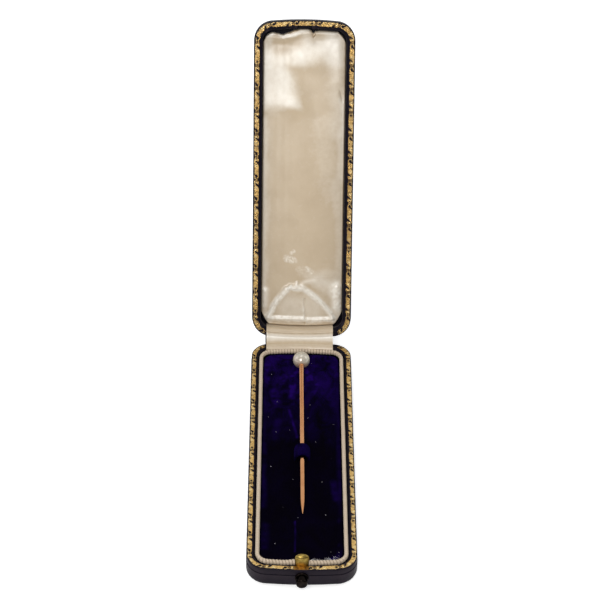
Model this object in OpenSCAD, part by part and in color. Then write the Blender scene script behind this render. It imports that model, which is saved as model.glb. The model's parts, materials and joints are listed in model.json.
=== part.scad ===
// Pearl stick pin lying in its open presentation case.
// Origin: middle of the flat underside of the base. +Y points to the hinge, +Z up.
// Lengths are in millimetres. The lid is drawn shut and then swung open.

/* [Case] */
// Width across the long walls
case_w = 30.2; // [27:0.1:36]
// Length from the front wall to the hinge wall
case_l = 96.2; // [88:0.1:120]
// Radius of the corners in plan
corner_r = 5.8; // [5:0.1:7]
// Bow of each short wall at its middle
end_bow = 0.4; // [0:0.05:1]
// Height of the base up to its rim
base_h = 6.4; // [5.8:0.1:9]
// Depth of the lid from its rim to its crown
lid_h = 8.2; // [7.6:0.1:12]
// Thickness of the base's long walls
side_wall = 2.3; // [2:0.05:2.8]
// Thickness of the base's short walls
end_wall = 2.75; // [2.6:0.05:3.2]
// Thickness of the lid's walls
lid_wall = 2.6; // [2.5:0.05:3]
// Thickness of the base's floor and of the lid's top board
board_t = 1.2; // [0.8:0.1:1.6]
// Radius of the rounded edge under the base
foot_r = 1.9; // [1.4:0.1:2.6]
// Radius of the rounded edge round the lid's crown
crown_r = 2.6; // [1.6:0.1:3]
// Height of the smooth band between the rim and the groove
band_h = 1.7; // [1.2:0.1:2.2]
// Depth of the groove under the band
groove_d = 0.25; // [0.1:0.05:0.4]
// How far the band stands back from the wall below it
band_step = 0.12; // [0.05:0.01:0.2]
// Bevel on the inner edge of the base's rim
base_bevel = 0.7; // [0.4:0.05:1]
// Bevel on the inner edge of the lid's rim
lid_bevel = 1; // [0.6:0.05:1.2]

/* [Hinge] */
// Angle of the lid from shut to its stop
open_angle = 117; // [95:1:122]
// Distance of the hinge axis behind the back wall
hinge_back = 0.8; // [0.7:0.05:1.2]
// Gap between the two rims when the lid is shut
rim_gap = 0.2; // [0.1:0.05:0.4]
// Radius of the leather spine on the hinge axis
spine_r = 0.6; // [0.4:0.05:0.65]
// Length of the leather spine
spine_l = 21.2; // [16:0.1:24]
// Width of the satin ribbon over the hinge
ribbon_w = 20.2; // [14:0.1:22]
// Place of the ribbon's middle across the case
ribbon_x = -0.5; // [-1:0.1:1]
// Thickness of the ribbon
ribbon_t = 0.25; // [0.15:0.05:0.3]

/* [Linings] */
// Drop from the base's rim to the velvet
velvet_drop = 1.3; // [1:0.05:1.8]
// Thickness of the silk piping
piping_d = 1.5; // [1.2:0.05:1.7]
// Drop from the base's rim to the middle of the piping
piping_drop = 0.5; // [0.4:0.05:0.8]
// Drop from the lid's rim to the padded satin
satin_drop = 4.3; // [4.2:0.05:4.8]
// Stretch of bare lining between the satin pad and the hinge wall
satin_back = 1.4; // [1:0.1:2.5]
// Roundness of the satin pad's edge
satin_round = 1.2; // [0.8:0.1:1.5]

/* [Pin] */
// Diameter of the pearl
pearl_d = 5.1; // [4.4:0.05:5.2]
// Diameter of the shank
shank_d = 1.4; // [1.1:0.05:1.6]
// Length from the crown of the pearl to the point
pin_l = 66.3; // [55:0.1:75]
// Length of the tapered point
point_l = 6.6; // [4:0.1:10]
// Diameter of the peg inside the pearl
peg_d = 0.7; // [0.5:0.05:0.9]
// Depth of the peg inside the pearl
peg_l = 2; // [1.2:0.1:2.3]
// Distance from the middle of the pearl to the back wall's face
head_back = 9.8; // [9:0.1:14]
// Turn of the pin from the case's centre line
pin_yaw = 0.24; // [0:0.02:1]

/* [Velvet loop] */
// Width across the pin
loop_w = 4.75; // [4.4:0.05:6]
// Length along the pin
loop_l = 4.9; // [3:0.1:7]
// Thickness of the doubled velvet
loop_t = 0.6; // [0.4:0.05:0.7]
// Distance from the middle of the pearl to the middle of the loop
loop_at = 39.4; // [25:0.1:45]

/* [Catch and button] */
// Width of the brass catch
catch_w = 4.1; // [3:0.05:5]
// Height of the catch above the rim
catch_h = 3.1; // [2.4:0.05:3.4]
// Depth of the catch's curled head from front to back
catch_d = 1.8; // [1.4:0.05:2]
// Thickness of the catch's leaf
leaf_t = 0.45; // [0.3:0.05:0.6]
// Drop from the rim to the button's middle
button_drop = 2.6; // [2.4:0.05:3]
// Diameter of the button's head
button_d = 3.15; // [2.6:0.05:3.4]
// How far the button stands out of the front wall
button_out = 2.6; // [1.8:0.05:3]
// Diameter of the button's stem
stem_d = 1.5; // [1:0.05:1.8]
// Diameter of the collar round the stem
collar_d = 3.8; // [3.4:0.05:4.2]
// How far the collar stands out of the front wall
collar_out = 0.45; // [0.3:0.05:0.7]
// Thickness of the strike plate in the lid
strike_t = 0.25; // [0.2:0.05:0.35]

/* [Hidden] */
// Clearance between pieces that lie on or against each other
fit = 0.05;
// Running clearance round the button's stem
run = 0.04;
// Segments of each corner in plan, and of each rounded edge
corner_steps = 8;
edge_steps = 4;
// Extra length of the tools that cut a piece
over = 1;
$fn = 48;

half_w = case_w / 2;
half_l = case_l / 2;
velvet_z = base_h - velvet_drop;
piping_r = piping_d / 2;
// Insets of the piping's middle and of the velvet from the outer faces
piping_side = side_wall + piping_r;
piping_end = end_wall + piping_r;
velvet_side = side_wall + piping_d + fit;
velvet_end = end_wall + piping_d + fit;
// Pin: its middle line falls from the pearl to the start of its point
pearl_r = pearl_d / 2;
shank_l = pin_l - pearl_r;
pin_tilt = asin((pearl_r - shank_d / 2) / (shank_l - point_l));
head_y = half_l - head_back;
head_z = velvet_z + pearl_r + fit;
loop_y = head_y - loop_at;
loop_x = loop_at * sin(pin_yaw);
// Height of the shank's top above the velvet where it enters the loop
loop_in = pearl_r + fit + shank_d / 2 - (loop_at - loop_l / 2) * sin(pin_tilt);
loop_h = loop_in + 3 * fit + loop_t;
// Catch: its leaf stands in a slot in the front wall
catch_y = -half_l + end_wall - 0.85;
slot_y = catch_y - fit;
catch_foot = base_h - button_drop - stem_d / 2 - 0.4;
catch_side = catch_w / 2 + 3 * fit;
button_z = base_h - button_drop;
collar_in = half_l + slot_y - 0.5;
// Hinge axis, and the depth of the ribbon's bed in both rims
hinge_y = half_l + hinge_back;
hinge_z = base_h + rim_gap / 2;
bed = ribbon_t + 2 * fit;

// Plan outline, counter-clockwise from the middle of the front.
// s, f, b: insets of the long walls, the front and the back from the outer faces.
function plan_r(s, f) = max(corner_r - (s + f) / 2, 0.5);
function plan_end(x, s, f) = end_bow * pow(x / (half_w - s - plan_r(s, f)), 2);
function plan_corner(s, f, b, sx, sy, a0) =
    let (r = plan_r(s, f), e = sy > 0 ? b : f)
    [for (i = [0 : corner_steps])
        [sx * (half_w - s - r) + r * cos(a0 + 90 * i / corner_steps),
         sy * (half_l - e - end_bow - r) + r * sin(a0 + 90 * i / corner_steps)]];
function plan_front(x, s, f) = [x, -half_l + f + plan_end(x, s, f)];
// How far an end of the outline falls back at x from its middle, round the corners too
function plan_drop(x, s, f) =
    let (r = plan_r(s, f), a = half_w - s - r)
    abs(x) < a ? plan_end(x, s, f) : end_bow + r - sqrt(max(r * r - pow(abs(x) - a, 2), 0));
function plan_back(x, s, f, b) = [x, half_l - b - plan_end(x, s, f)];
function plan(s, f, b) =
    let (m = (half_w - s - plan_r(s, f)) / 2)
    concat([plan_front(0, s, f), plan_front(m, s, f)],
           plan_corner(s, f, b, 1, -1, -90), plan_corner(s, f, b, 1, 1, 0),
           [plan_back(m, s, f, b), plan_back(0, s, f, b), plan_back(-m, s, f, b)],
           plan_corner(s, f, b, -1, 1, 90), plan_corner(s, f, b, -1, -1, 180),
           [plan_front(-m, s, f)]);

// Closed skin over rings of n points each, listed ring after ring.
module skin(points, n) {
    m = len(points) / n;
    polyhedron(
        points = points,
        faces = concat(
            [[for (j = [0 : n - 1]) j]],
            [for (i = [0 : m - 2]) for (j = [0 : n - 1])
                [i * n + j, (i + 1) * n + j, (i + 1) * n + (j + 1) % n]],
            [for (i = [0 : m - 2]) for (j = [0 : n - 1])
                [i * n + j, (i + 1) * n + (j + 1) % n, i * n + (j + 1) % n]],
            [[for (j = [n - 1 : -1 : 0]) (m - 1) * n + j]]),
        convexity = 6);
}

// Skin through rows of [side inset, front inset, back inset, height].
module loft(rows) {
    skin([for (r = rows) for (p = plan(r[0], r[1], r[2])) [p[0], p[1], r[3]]],
         len(plan(rows[0][0], rows[0][1], rows[0][2])));
}

// Round-edged tray with its rim at height 0 and its board below.
// h: depth. ws, we: thickness of long and short walls. bev: bevel inside the rim.
// r: radius of the edge round the board.
module tray(h, ws, we, bev, r) {
    bed_r = [for (i = [0 : edge_steps])
        let (a = 90 * i / edge_steps, d = r * (1 - sin(a)))
        [d, d, d, -h + r * (1 - cos(a))]];
    lip = 2 * band_step;
    wall = [[0, -band_h - groove_d], [groove_d, -band_h - groove_d / 2], [band_step, -band_h],
            [band_step, -lip], [band_step + lip / 2, -lip / 4], [band_step + lip, 0]];
    loft(concat(bed_r, [for (p = wall) [p[0], p[0], p[0], p[1]]],
        [[ws - bev, we - bev, we - bev, 0], [ws, we, we, -bev], [ws, we, we, -h + board_t]]));
}

// Round bar of radius r along a plan path at height 0, with flat ends.
module bar(path, r, sides) {
    m = len(path);
    skin([for (k = [0 : m - 1])
        let (a = path[max(k - 1, 0)], b = path[min(k + 1, m - 1)], t = (b - a) / norm(b - a))
        for (i = [0 : sides - 1])
            let (c = r * cos(360 * i / sides), z = r * sin(360 * i / sides))
            [path[k][0] + c * t[1], path[k][1] - c * t[0], z]],
        sides);
}

// Places its children, drawn shut with the lid's rim at height 0, on the open lid.
module on_lid() {
    translate([0, hinge_y, hinge_z])
        rotate([-open_angle, 0, 0])
            translate([0, -hinge_y, rim_gap / 2])
                children();
}

// Places its children, drawn with the pin's middle line along +Z, on the velvet.
module on_pin() {
    translate([0, head_y, head_z])
        rotate([90 + pin_tilt, 0, pin_yaw])
            children();
}

// Places its children, drawn along +Z with 0 at the front wall's face, on the button's axis.
module on_button() {
    translate([0, -half_l, button_z])
        rotate([90, 0, 0])
            children();
}

// Bed for the ribbon across the top of the back wall, with the rim at height 0.
module ribbon_bed() {
    translate([ribbon_x - ribbon_w / 2 - fit, half_l - end_wall - lid_wall, -bed])
        cube([ribbon_w + 2 * fit, end_wall + lid_wall + over, bed + over]);
}

// Ribbon from the outer edge of the back wall over its rim and down the bevel.
// ws, we: thickness of the long and back walls. bev: their bevel.
module ribbon_half(ws, we, bev) {
    steps = 8;
    y0 = half_l - band_step - fit;
    y1 = half_l - we + bev - bed;
    y2 = half_l - we + 1.5 * fit;
    z0 = fit - bed;
    z2 = z0 - (y1 - y2);
    profile = [[y0, z0], [y0, z0 + ribbon_t], [y1, z0 + ribbon_t],
               [y2, z2 + ribbon_t], [y2, z2], [y1, z0]];
    skin([for (i = [0 : steps])
        let (x = ribbon_x + ribbon_w * (i / steps - 0.5), drop = plan_drop(x, ws, we))
        for (p = profile) [x, p[0] - drop, p[1]]],
        len(profile));
}

module base_tray() {
    color("#1c1724")
    translate([0, 0, base_h])
    difference() {
        tray(base_h, side_wall, end_wall, base_bevel, foot_r);
        ribbon_bed();
        // Slot for the catch's leaf
        translate([-catch_side, slot_y, catch_foot - fit - base_h])
            cube([2 * catch_side, end_wall + over, base_h]);
        // Seat of the collar and way for the stem
        translate([0, 0, -base_h])
        on_button() {
            translate([0, 0, -collar_in])
                cylinder(d = collar_d + 2 * run, h = collar_in + over);
            translate([0, 0, -end_wall])
                cylinder(d = stem_d + 2 * run, h = end_wall);
        }
    }
}

module velvet_pad() {
    // Share of the puffed edge's radius: inset, height below the top
    puff = [[0, 1], [0.08, 0.62], [0.3, 0.3], [0.62, 0.08], [1, 0]];
    puff_r = piping_d;
    low = board_t + fit;
    color("#160a3a")
    loft(concat([[velvet_side, velvet_end, velvet_end, low]],
        [for (p = puff) [velvet_side + puff_r * p[0], velvet_end + puff_r * p[0],
                         velvet_end + puff_r * p[0], velvet_z - puff_r * p[1]]]));
}

module silk_piping() {
    end_x = catch_w / 2 + 4 * fit;
    line = plan(piping_side, piping_end, piping_end);
    way = concat([plan_front(end_x, piping_side, piping_end)],
        [for (p = line) if (p[1] > 0 || abs(p[0]) > end_x + piping_r) p],
        [plan_front(-end_x, piping_side, piping_end)]);
    color("#c8b49a")
    translate([0, 0, base_h - piping_drop])
        bar(way, piping_r - fit, 10);
}

module velvet_loop() {
    steps = 12;
    arch = [for (i = [0 : steps]) 180 * i / steps];
    in_w = loop_w / 2 - loop_t;
    in_h = loop_h - loop_t;
    color("#24106a")
    translate([loop_x, loop_y + loop_l / 2, velvet_z + fit])
        rotate([90, 0, 0])
            linear_extrude(height = loop_l)
                polygon(concat(
                    [for (a = arch) [loop_w / 2 * cos(a), loop_h * sin(a)]],
                    [for (a = arch) [-in_w * cos(a), in_h * sin(a)]]));
}

module pin_shank() {
    r = shank_d / 2;
    // Point: share of its length, share of the shank's radius
    point = [[0, 1], [0.3, 0.9], [0.6, 0.64], [0.85, 0.3], [1, 0.08]];
    color("#d69a6e")
    on_pin()
    rotate_extrude()
        polygon(concat(
            [[0, pearl_r - peg_l], [peg_d / 2, pearl_r - peg_l], [peg_d / 2, pearl_r], [r, pearl_r]],
            [for (p = point) [r * p[1], shank_l - point_l * (1 - p[0])]],
            [[0, shank_l]]));
}

module pearl() {
    color("#e6e0d6")
    on_pin()
    difference() {
        sphere(d = pearl_d);
        translate([0, 0, pearl_r - peg_l - fit])
            cylinder(d = peg_d + 2 * fit, h = peg_l + over);
    }
}

module catch() {
    // Curled head: a leaf that bends back over a round top to a free lip
    steps = 8;
    top = base_h + catch_h;
    r = catch_d / 2;
    ri = r - leaf_t;
    y0 = catch_y;
    mid = y0 + r;
    color("#a88a3c")
    translate([-catch_w / 2, 0, 0])
        rotate([90, 0, 90])
            linear_extrude(height = catch_w)
                polygon(concat(
                    [[y0, catch_foot]],
                    [for (i = [0 : steps]) [mid - r * cos(180 * i / steps),
                                            top - r + r * sin(180 * i / steps)]],
                    [[mid + r, top - 1.8 * r], [mid + ri, top - 1.8 * r]],
                    [for (i = [steps : -1 : 0]) [mid - ri * cos(180 * i / steps),
                                                 top - r + ri * sin(180 * i / steps)]],
                    [[y0 + leaf_t, catch_foot]]));
}

module button_collar() {
    color("#5a5048")
    on_button()
    translate([0, 0, -collar_in + fit])
        difference() {
            cylinder(d = collar_d, h = collar_in - fit + collar_out);
            translate([0, 0, -over])
                cylinder(d = stem_d + 2 * run, h = collar_in + collar_out + 2 * over);
        }
}

module push_button() {
    back = collar_out + fit;
    rim = 0.15 * button_d;
    stem_in = half_l + catch_y - fit;
    color("#3a302a")
    on_button()
    rotate_extrude()
        polygon([[0, -stem_in], [stem_d / 2, -stem_in], [stem_d / 2, back],
                 [button_d / 2, back], [button_d / 2, button_out - rim],
                 [button_d / 2 - rim / 3, button_out - rim / 3],
                 [button_d / 2 - rim, button_out], [0, button_out]]);
}

module hinge_spine() {
    color("#181320")
    translate([ribbon_x - spine_l / 2, hinge_y, hinge_z])
        rotate([0, 90, 0])
            cylinder(r = spine_r, h = spine_l);
}

module ribbon_base() {
    color("#dccbb0")
    translate([0, 0, base_h])
        ribbon_half(side_wall, end_wall, base_bevel);
}

module lid_shell() {
    color("#1c1724")
    on_lid()
    mirror([0, 0, 1])
    difference() {
        tray(lid_h, lid_wall, lid_wall, lid_bevel, crown_r);
        ribbon_bed();
        // Pocket that the catch's head enters, lined by the strike plate
        translate([-catch_side - strike_t, slot_y - strike_t - 7 * fit, -catch_h - 8 * fit])
            cube([2 * (catch_side + strike_t), lid_wall + over, catch_h + 8 * fit + over]);
    }
}

module satin_pad() {
    side = lid_wall + 4 * fit;
    front = lid_wall + 6 * fit;
    back = lid_wall + satin_back;
    top = lid_h - board_t - fit;
    // Share of the rounded edge: inset, height below the padded face
    puff = [[0, 1], [0.15, 0.55], [0.5, 0.22], [1.3, 0.06], [2.6, 0]];
    color("#dfd2bd")
    on_lid()
    mirror([0, 0, 1])
    loft(concat([[side, front, back, -top]],
        [for (p = puff) [side + satin_round * p[0], front + satin_round * p[0],
                         back + satin_round * p[0], -satin_drop - satin_round * p[1]]]));
}

module strike_plate() {
    color("#8c7434")
    on_lid()
    translate([-catch_side, slot_y - strike_t - 6 * fit, 2 * fit])
        cube([2 * catch_side, strike_t, catch_h + 4 * fit]);
}

module ribbon_lid() {
    color("#dccbb0")
    on_lid()
    mirror([0, 0, 1])
        ribbon_half(lid_wall, lid_wall, lid_bevel);
}

base_tray();
velvet_pad();
silk_piping();
velvet_loop();
pin_shank();
pearl();
catch();
button_collar();
push_button();
hinge_spine();
ribbon_base();
lid_shell();
satin_pad();
strike_plate();
ribbon_lid();
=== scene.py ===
"""Looks of a pearl stick pin in its open presentation case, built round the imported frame.

Sizes are in millimetres. Meshes are shaped in millimetres in the case's own frame and become metres
when they are made objects. Pieces of the lid are shaped shut, with the lid's rim at height 0 and its
crown above, and are then swung open on the hinge.
"""

import json
import logging
import math
import random
from bisect import bisect_right
from collections.abc import Callable, Iterable, Sequence
from dataclasses import dataclass, replace
from enum import Enum
from functools import reduce

import bmesh
import bpy
from bmesh.types import BMEdge, BMesh, BMFace, BMLayerItem, BMVert
from bpy.types import Material, Mesh, Node, NodeSocket, Object
from mathutils import Matrix, Vector, noise


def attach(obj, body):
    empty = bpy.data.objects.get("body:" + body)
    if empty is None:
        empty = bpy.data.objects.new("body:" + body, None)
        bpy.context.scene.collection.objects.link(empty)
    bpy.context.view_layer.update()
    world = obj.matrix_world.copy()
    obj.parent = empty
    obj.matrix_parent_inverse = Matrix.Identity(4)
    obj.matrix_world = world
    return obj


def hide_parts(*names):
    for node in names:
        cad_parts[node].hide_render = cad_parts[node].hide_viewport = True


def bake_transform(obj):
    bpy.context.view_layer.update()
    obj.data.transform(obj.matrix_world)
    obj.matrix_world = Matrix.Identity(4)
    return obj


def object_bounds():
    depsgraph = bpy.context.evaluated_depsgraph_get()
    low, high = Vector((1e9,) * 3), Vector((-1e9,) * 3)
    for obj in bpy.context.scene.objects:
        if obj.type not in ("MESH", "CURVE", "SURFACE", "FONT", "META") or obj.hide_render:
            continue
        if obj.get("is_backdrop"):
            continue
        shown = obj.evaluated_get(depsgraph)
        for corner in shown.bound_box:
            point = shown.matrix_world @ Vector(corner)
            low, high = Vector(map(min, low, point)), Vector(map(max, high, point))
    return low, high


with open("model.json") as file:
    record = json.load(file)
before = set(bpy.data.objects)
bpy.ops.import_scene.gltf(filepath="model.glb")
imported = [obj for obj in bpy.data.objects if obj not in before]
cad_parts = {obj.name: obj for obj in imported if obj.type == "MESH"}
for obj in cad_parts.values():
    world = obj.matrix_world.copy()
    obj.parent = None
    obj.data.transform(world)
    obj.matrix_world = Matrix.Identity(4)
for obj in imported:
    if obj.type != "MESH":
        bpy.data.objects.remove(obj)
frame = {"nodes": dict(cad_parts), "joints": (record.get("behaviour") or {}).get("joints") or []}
CAD_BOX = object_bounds()

log = logging.getLogger("stick_pin")

MM = 0.001
SMOOTH_ANGLE = math.radians(38)
SOFT_ANGLE = math.radians(80)
# Distance under which two places count as one
TOUCH = 1e-4
# Scale at which Blender's sine bands lie one unit apart
WAVES_PER_UNIT = 0.314
Colour = tuple[float, float, float]
Spot = tuple[float, float, float]
Line = tuple[tuple[float, float], ...]
Points = Sequence[tuple[float, float]]
# Points of an outline: place along the roll, distance from the inner edge, whether the corner is sharp
Outline = tuple[tuple[float, float, bool], ...]
Relief = Callable[[float, float], float]
Tuck = Callable[[float, int], float]


class Body(Enum):
    """Bodies of the frame that a piece rides on."""

    CASE = "case"
    LID = "lid"


class Slot(Enum):
    """Material slots of the record."""

    LEATHER = "leather"
    VELVET = "velvet"
    SILK_CORD = "silk_cord"
    SATIN = "satin"
    ROSE_GOLD = "rose_gold"
    PEARL = "pearl"
    BRASS = "brass"
    BRONZE = "bronze"
    GILT = "gilt"


@dataclass(frozen=True)
class Inset:
    """How far an outline lies inside the outer faces of the walls."""

    side: float
    front: float
    back: float


@dataclass(frozen=True)
class CasePlan:
    """Plan of the case: straight long walls, bowed short walls and round corners."""

    half_w: float = 15.1
    half_l: float = 48.1
    base_h: float = 6.4
    corner_r: float = 5.8
    end_bow: float = 0.4
    corner_steps: int = 14
    end_cuts: int = 11
    point_gap: float = 0.3

    def radius(self, inset: Inset) -> float:
        """Radius of the corners of an outline."""
        return max(self.corner_r - (inset.side + inset.front) / 2, 0.5)

    def flat(self, inset: Inset) -> float:
        """Half the width of an end between its corners."""
        return self.half_w - inset.side - self.radius(inset)

    def fall(self, x: float, inset: Inset) -> float:
        """How far an end's outline falls back from its middle, round the corners too.

        Args:
            x: Place across the case.
            inset: The outline.

        Returns:
            The distance.
        """
        radius = self.radius(inset)
        flat = self.flat(inset)
        if abs(x) < flat:
            return self.end_bow * (x / flat) ** 2
        reach = min(abs(x) - flat, radius)
        return self.end_bow + radius - math.sqrt(radius * radius - reach * reach)

    def end_y(self, x: float, inset: Inset, sign: float) -> float:
        """Place of the front (sign -1) or back (sign 1) end of an outline at x."""
        end = inset.back if sign > 0 else inset.front
        return math.copysign(self.half_l - end - self.fall(x, inset), sign)

    def depth(self, x: float, y: float, inset: Inset) -> float:
        """Distance of a place from an outline.

        Args:
            x: Place across the case.
            y: Place along the case.
            inset: The outline.

        Returns:
            The distance, positive inside the outline.
        """
        radius = self.radius(inset)
        flat = self.flat(inset)
        end = inset.back if y > 0 else inset.front
        across = abs(x) - flat
        along = abs(y) + self.end_bow * min(abs(x) / flat, 1) ** 2 - (self.half_l - end - radius)
        beyond = math.hypot(max(across, 0), max(along, 0))
        return radius - beyond - min(max(across, along), 0)

    def outward(self, x: float, y: float) -> Vector:
        """Direction out of the wall that is nearest to a place on the outer faces.

        Args:
            x: Place across the case.
            y: Place along the case.

        Returns:
            The level unit vector.
        """
        across = abs(x) - (self.half_w - self.corner_r)
        along = abs(y) - (self.half_l - self.end_bow - self.corner_r)
        if across <= 0:
            return Vector((0, math.copysign(1, y), 0))
        if along <= 0:
            return Vector((math.copysign(1, x), 0, 0))
        return Vector((math.copysign(across, x), math.copysign(along, y), 0)).normalized()

    def slab(self, bm: BMesh) -> BMFace:
        """Makes one level face with the outer outline.

        Args:
            bm: Empty mesh that takes the face.

        Returns:
            The face, at height 0.
        """
        outer = Inset(0, 0, 0)
        half_y = self.half_l - self.end_bow
        bmesh.ops.create_grid(bm, x_segments=1, y_segments=1, size=1)
        bmesh.ops.scale(bm, vec=(self.half_w, half_y, 1), verts=bm.verts[:])
        bmesh.ops.bevel(bm, geom=bm.verts[:], offset=self.corner_r, offset_type="OFFSET",
                        segments=self.corner_steps, profile=0.5, affect="VERTICES", material=-1,
                        clamp_overlap=False)
        ends = [e for e in bm.edges if all(abs(abs(v.co.y) - half_y) < TOUCH for v in e.verts)]
        bmesh.ops.subdivide_edges(bm, edges=ends, cuts=self.end_cuts)
        for vert in bm.verts:
            if abs(vert.co.x) < self.flat(outer) and abs(vert.co.y) > half_y - TOUCH:
                vert.co.y = self.end_y(vert.co.x, outer, vert.co.y)
        return bmesh.ops.dissolve_faces(bm, faces=bm.faces[:])["region"][0]

    def ring(self, inset: Inset) -> list[Vector]:
        """Points round an outline, counter-clockwise from the middle of the front.

        Args:
            inset: Outline to follow. Its front inset is used at both ends.

        Returns:
            Points at height 0, without a second copy of the first one.
        """
        radius = self.radius(inset)
        flat = self.flat(inset)
        low = self.half_l - inset.front - self.end_bow - radius
        turns = math.ceil(radius * math.pi / 2 / self.point_gap)
        cuts = math.ceil(flat / self.point_gap)
        rows = math.ceil(low / self.point_gap)
        quarter = [(flat * i / cuts, self.end_y(flat * i / cuts, inset, -1)) for i in range(cuts)]
        for i in range(turns):
            angle = math.pi / 2 * (i / turns - 1)
            quarter.append((flat + radius * math.cos(angle), -low + radius * math.sin(angle)))
        quarter += [(flat + radius, -low * (1 - i / rows)) for i in range(rows + 1)]
        right = quarter + [(x, -y) for x, y in reversed(quarter)][1:]
        return [Vector((x, y, 0)) for x, y in right + [(-x, y) for x, y in reversed(right)][1:-1]]


@dataclass(frozen=True)
class Hinge:
    """Axis behind the back wall on which the lid swings."""

    y: float
    z: float
    open_angle: float
    rim_gap: float = 0.2

    @classmethod
    def of_frame(cls) -> "Hinge":
        """Reads the hinge from the frame's only joint."""
        joint = frame["joints"][0]
        return cls(joint["pos_m"][1] / MM, joint["pos_m"][2] / MM, joint["range_deg"][1])

    def swing(self) -> Matrix:
        """Matrix from the lid's shut place, rim at height 0, to its open place."""
        to_axis = Matrix.Translation((0, -self.y, self.rim_gap / 2))
        turn = Matrix.Rotation(math.radians(-self.open_angle), 4, "X")
        return Matrix.Translation((0, self.y, self.z)) @ turn @ to_axis

    def open_point(self, x: float, y: float, n: float) -> Vector:
        """Place on the open lid of a point given shut."""
        return self.swing() @ Vector((x, y, n))


class WallPath:
    """Line that follows the walls at one inset and is measured by its length."""

    def __init__(self, plan: CasePlan, inset: Inset, from_back: bool = False) -> None:
        """Lays the line out.

        Args:
            plan: Plan of the case.
            inset: Outline to follow.
            from_back: Whether it starts at the middle of the back and not of the front.
        """
        ring = plan.ring(inset)
        start = len(ring) // 2 if from_back else 0
        self.points = ring[start:] + ring[:start] + [ring[start]]
        self.reach = [0.0]
        for a, b in zip(self.points, self.points[1:]):
            self.reach.append(self.reach[-1] + (b - a).length)
        last = len(self.points) - 1
        self.ways = [(self.points[min(i + 1, last)] - self.points[max(i - 1, 0)]).normalized()
                     for i in range(last + 1)]

    @property
    def length(self) -> float:
        """Length of the whole line."""
        return self.reach[-1]

    def at(self, way: float) -> tuple[Vector, Vector]:
        """Place and inward direction at a distance from the start.

        Args:
            way: Distance along the line.

        Returns:
            The point and the level unit vector to the inside of the case.
        """
        i = min(max(bisect_right(self.reach, way) - 1, 0), len(self.points) - 2)
        share = (way - self.reach[i]) / (self.reach[i + 1] - self.reach[i])
        point = self.points[i].lerp(self.points[i + 1], share)
        tangent = self.ways[i].lerp(self.ways[i + 1], share).normalized()
        return point, Vector((-tangent.y, tangent.x, 0))

    def wrap(self, bm: BMesh) -> None:
        """Bends a straight mesh onto the line: x runs along it, y inwards and z stays."""
        for vert in bm.verts:
            point, inward = self.at(vert.co.x)
            vert.co = point + inward * vert.co.y + Vector((0, 0, vert.co.z))


def clamp(value: float, low: float = 0.0, high: float = 1.0) -> float:
    """Keeps a value between two bounds."""
    return min(max(value, low), high)


def smooth(value: float) -> float:
    """Smooth step of a share from 0 to 1."""
    value = clamp(value)
    return value * value * (3 - 2 * value)


def table_value(table: Points, place: float) -> float:
    """Reads a table smoothly between its rows.

    Args:
        table: Rows of a rising place and a value.
        place: Place to read it at.

    Returns:
        The value there.
    """
    for (x0, y0), (x1, y1) in zip(table, table[1:]):
        if place <= x1:
            return y0 + (y1 - y0) * smooth((place - x0) / (x1 - x0))
    return table[-1][1]


def wander(x: float, y: float, z: float, size: float) -> float:
    """Smooth noise from -1 to 1 whose lumps measure about the given size."""
    return noise.noise(Vector((x, y, z)) / size)


def push_out(bm: BMesh, face: BMFace, rise: float) -> BMFace:
    """Extrudes a level face and leaves the first face where it was.

    Args:
        bm: Mesh that holds it.
        face: Face to extrude.
        rise: Height that it moves by.

    Returns:
        The moved face.
    """
    made = bmesh.ops.extrude_face_region(bm, geom=[face])["geom"]
    verts = [g for g in made if isinstance(g, BMVert)]
    bmesh.ops.translate(bm, vec=(0, 0, rise), verts=verts)
    return next(g for g in made if isinstance(g, BMFace))


def round_edges(bm: BMesh, edges: Iterable[BMEdge], radius: float, segments: int) -> None:
    """Rounds edges with a bevel."""
    bmesh.ops.bevel(bm, geom=list(edges), offset=radius, offset_type="OFFSET", segments=segments,
                    profile=0.5, affect="EDGES", material=-1, clamp_overlap=False)


def draw_out(bm: BMesh, edges: Sequence[BMEdge], step: Spot) -> list[BMEdge]:
    """Extrudes edges into faces.

    Args:
        bm: Mesh that holds them.
        edges: Edges to extrude.
        step: How far their copies move.

    Returns:
        The copies.
    """
    made = bmesh.ops.extrude_edge_only(bm, edges=edges)["geom"]
    bmesh.ops.translate(bm, vec=step, verts=[g for g in made if isinstance(g, BMVert)])
    return [g for g in made if isinstance(g, BMEdge)]


def face_out(bm: BMesh) -> None:
    """Turns the faces of a solid outwards."""
    bmesh.ops.recalc_face_normals(bm, faces=bm.faces[:])


def shift(bm: BMesh, step: Spot) -> None:
    """Moves a whole mesh by a step."""
    bmesh.ops.translate(bm, vec=step, verts=bm.verts[:])


def move(bm: BMesh, matrix: Matrix) -> None:
    """Moves and turns a whole mesh."""
    bmesh.ops.transform(bm, matrix=matrix, verts=bm.verts[:])


def turn_over(bm: BMesh) -> None:
    """Mirrors a solid top to bottom and keeps its faces outwards."""
    bmesh.ops.scale(bm, vec=(1, 1, -1), verts=bm.verts[:])
    bmesh.ops.reverse_faces(bm, faces=bm.faces[:])


def lay_map(bm: BMesh, name: str, place: Callable[[BMVert], tuple[float, float]]) -> None:
    """Gives a mesh a UV map.

    Args:
        bm: The mesh.
        name: Name of the map.
        place: Works out the place of a vertex on the map.
    """
    uv = bm.loops.layers.uv.new(name)
    for face in bm.faces:
        for loop in face.loops:
            loop[uv].uv = place(loop.vert)


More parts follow.
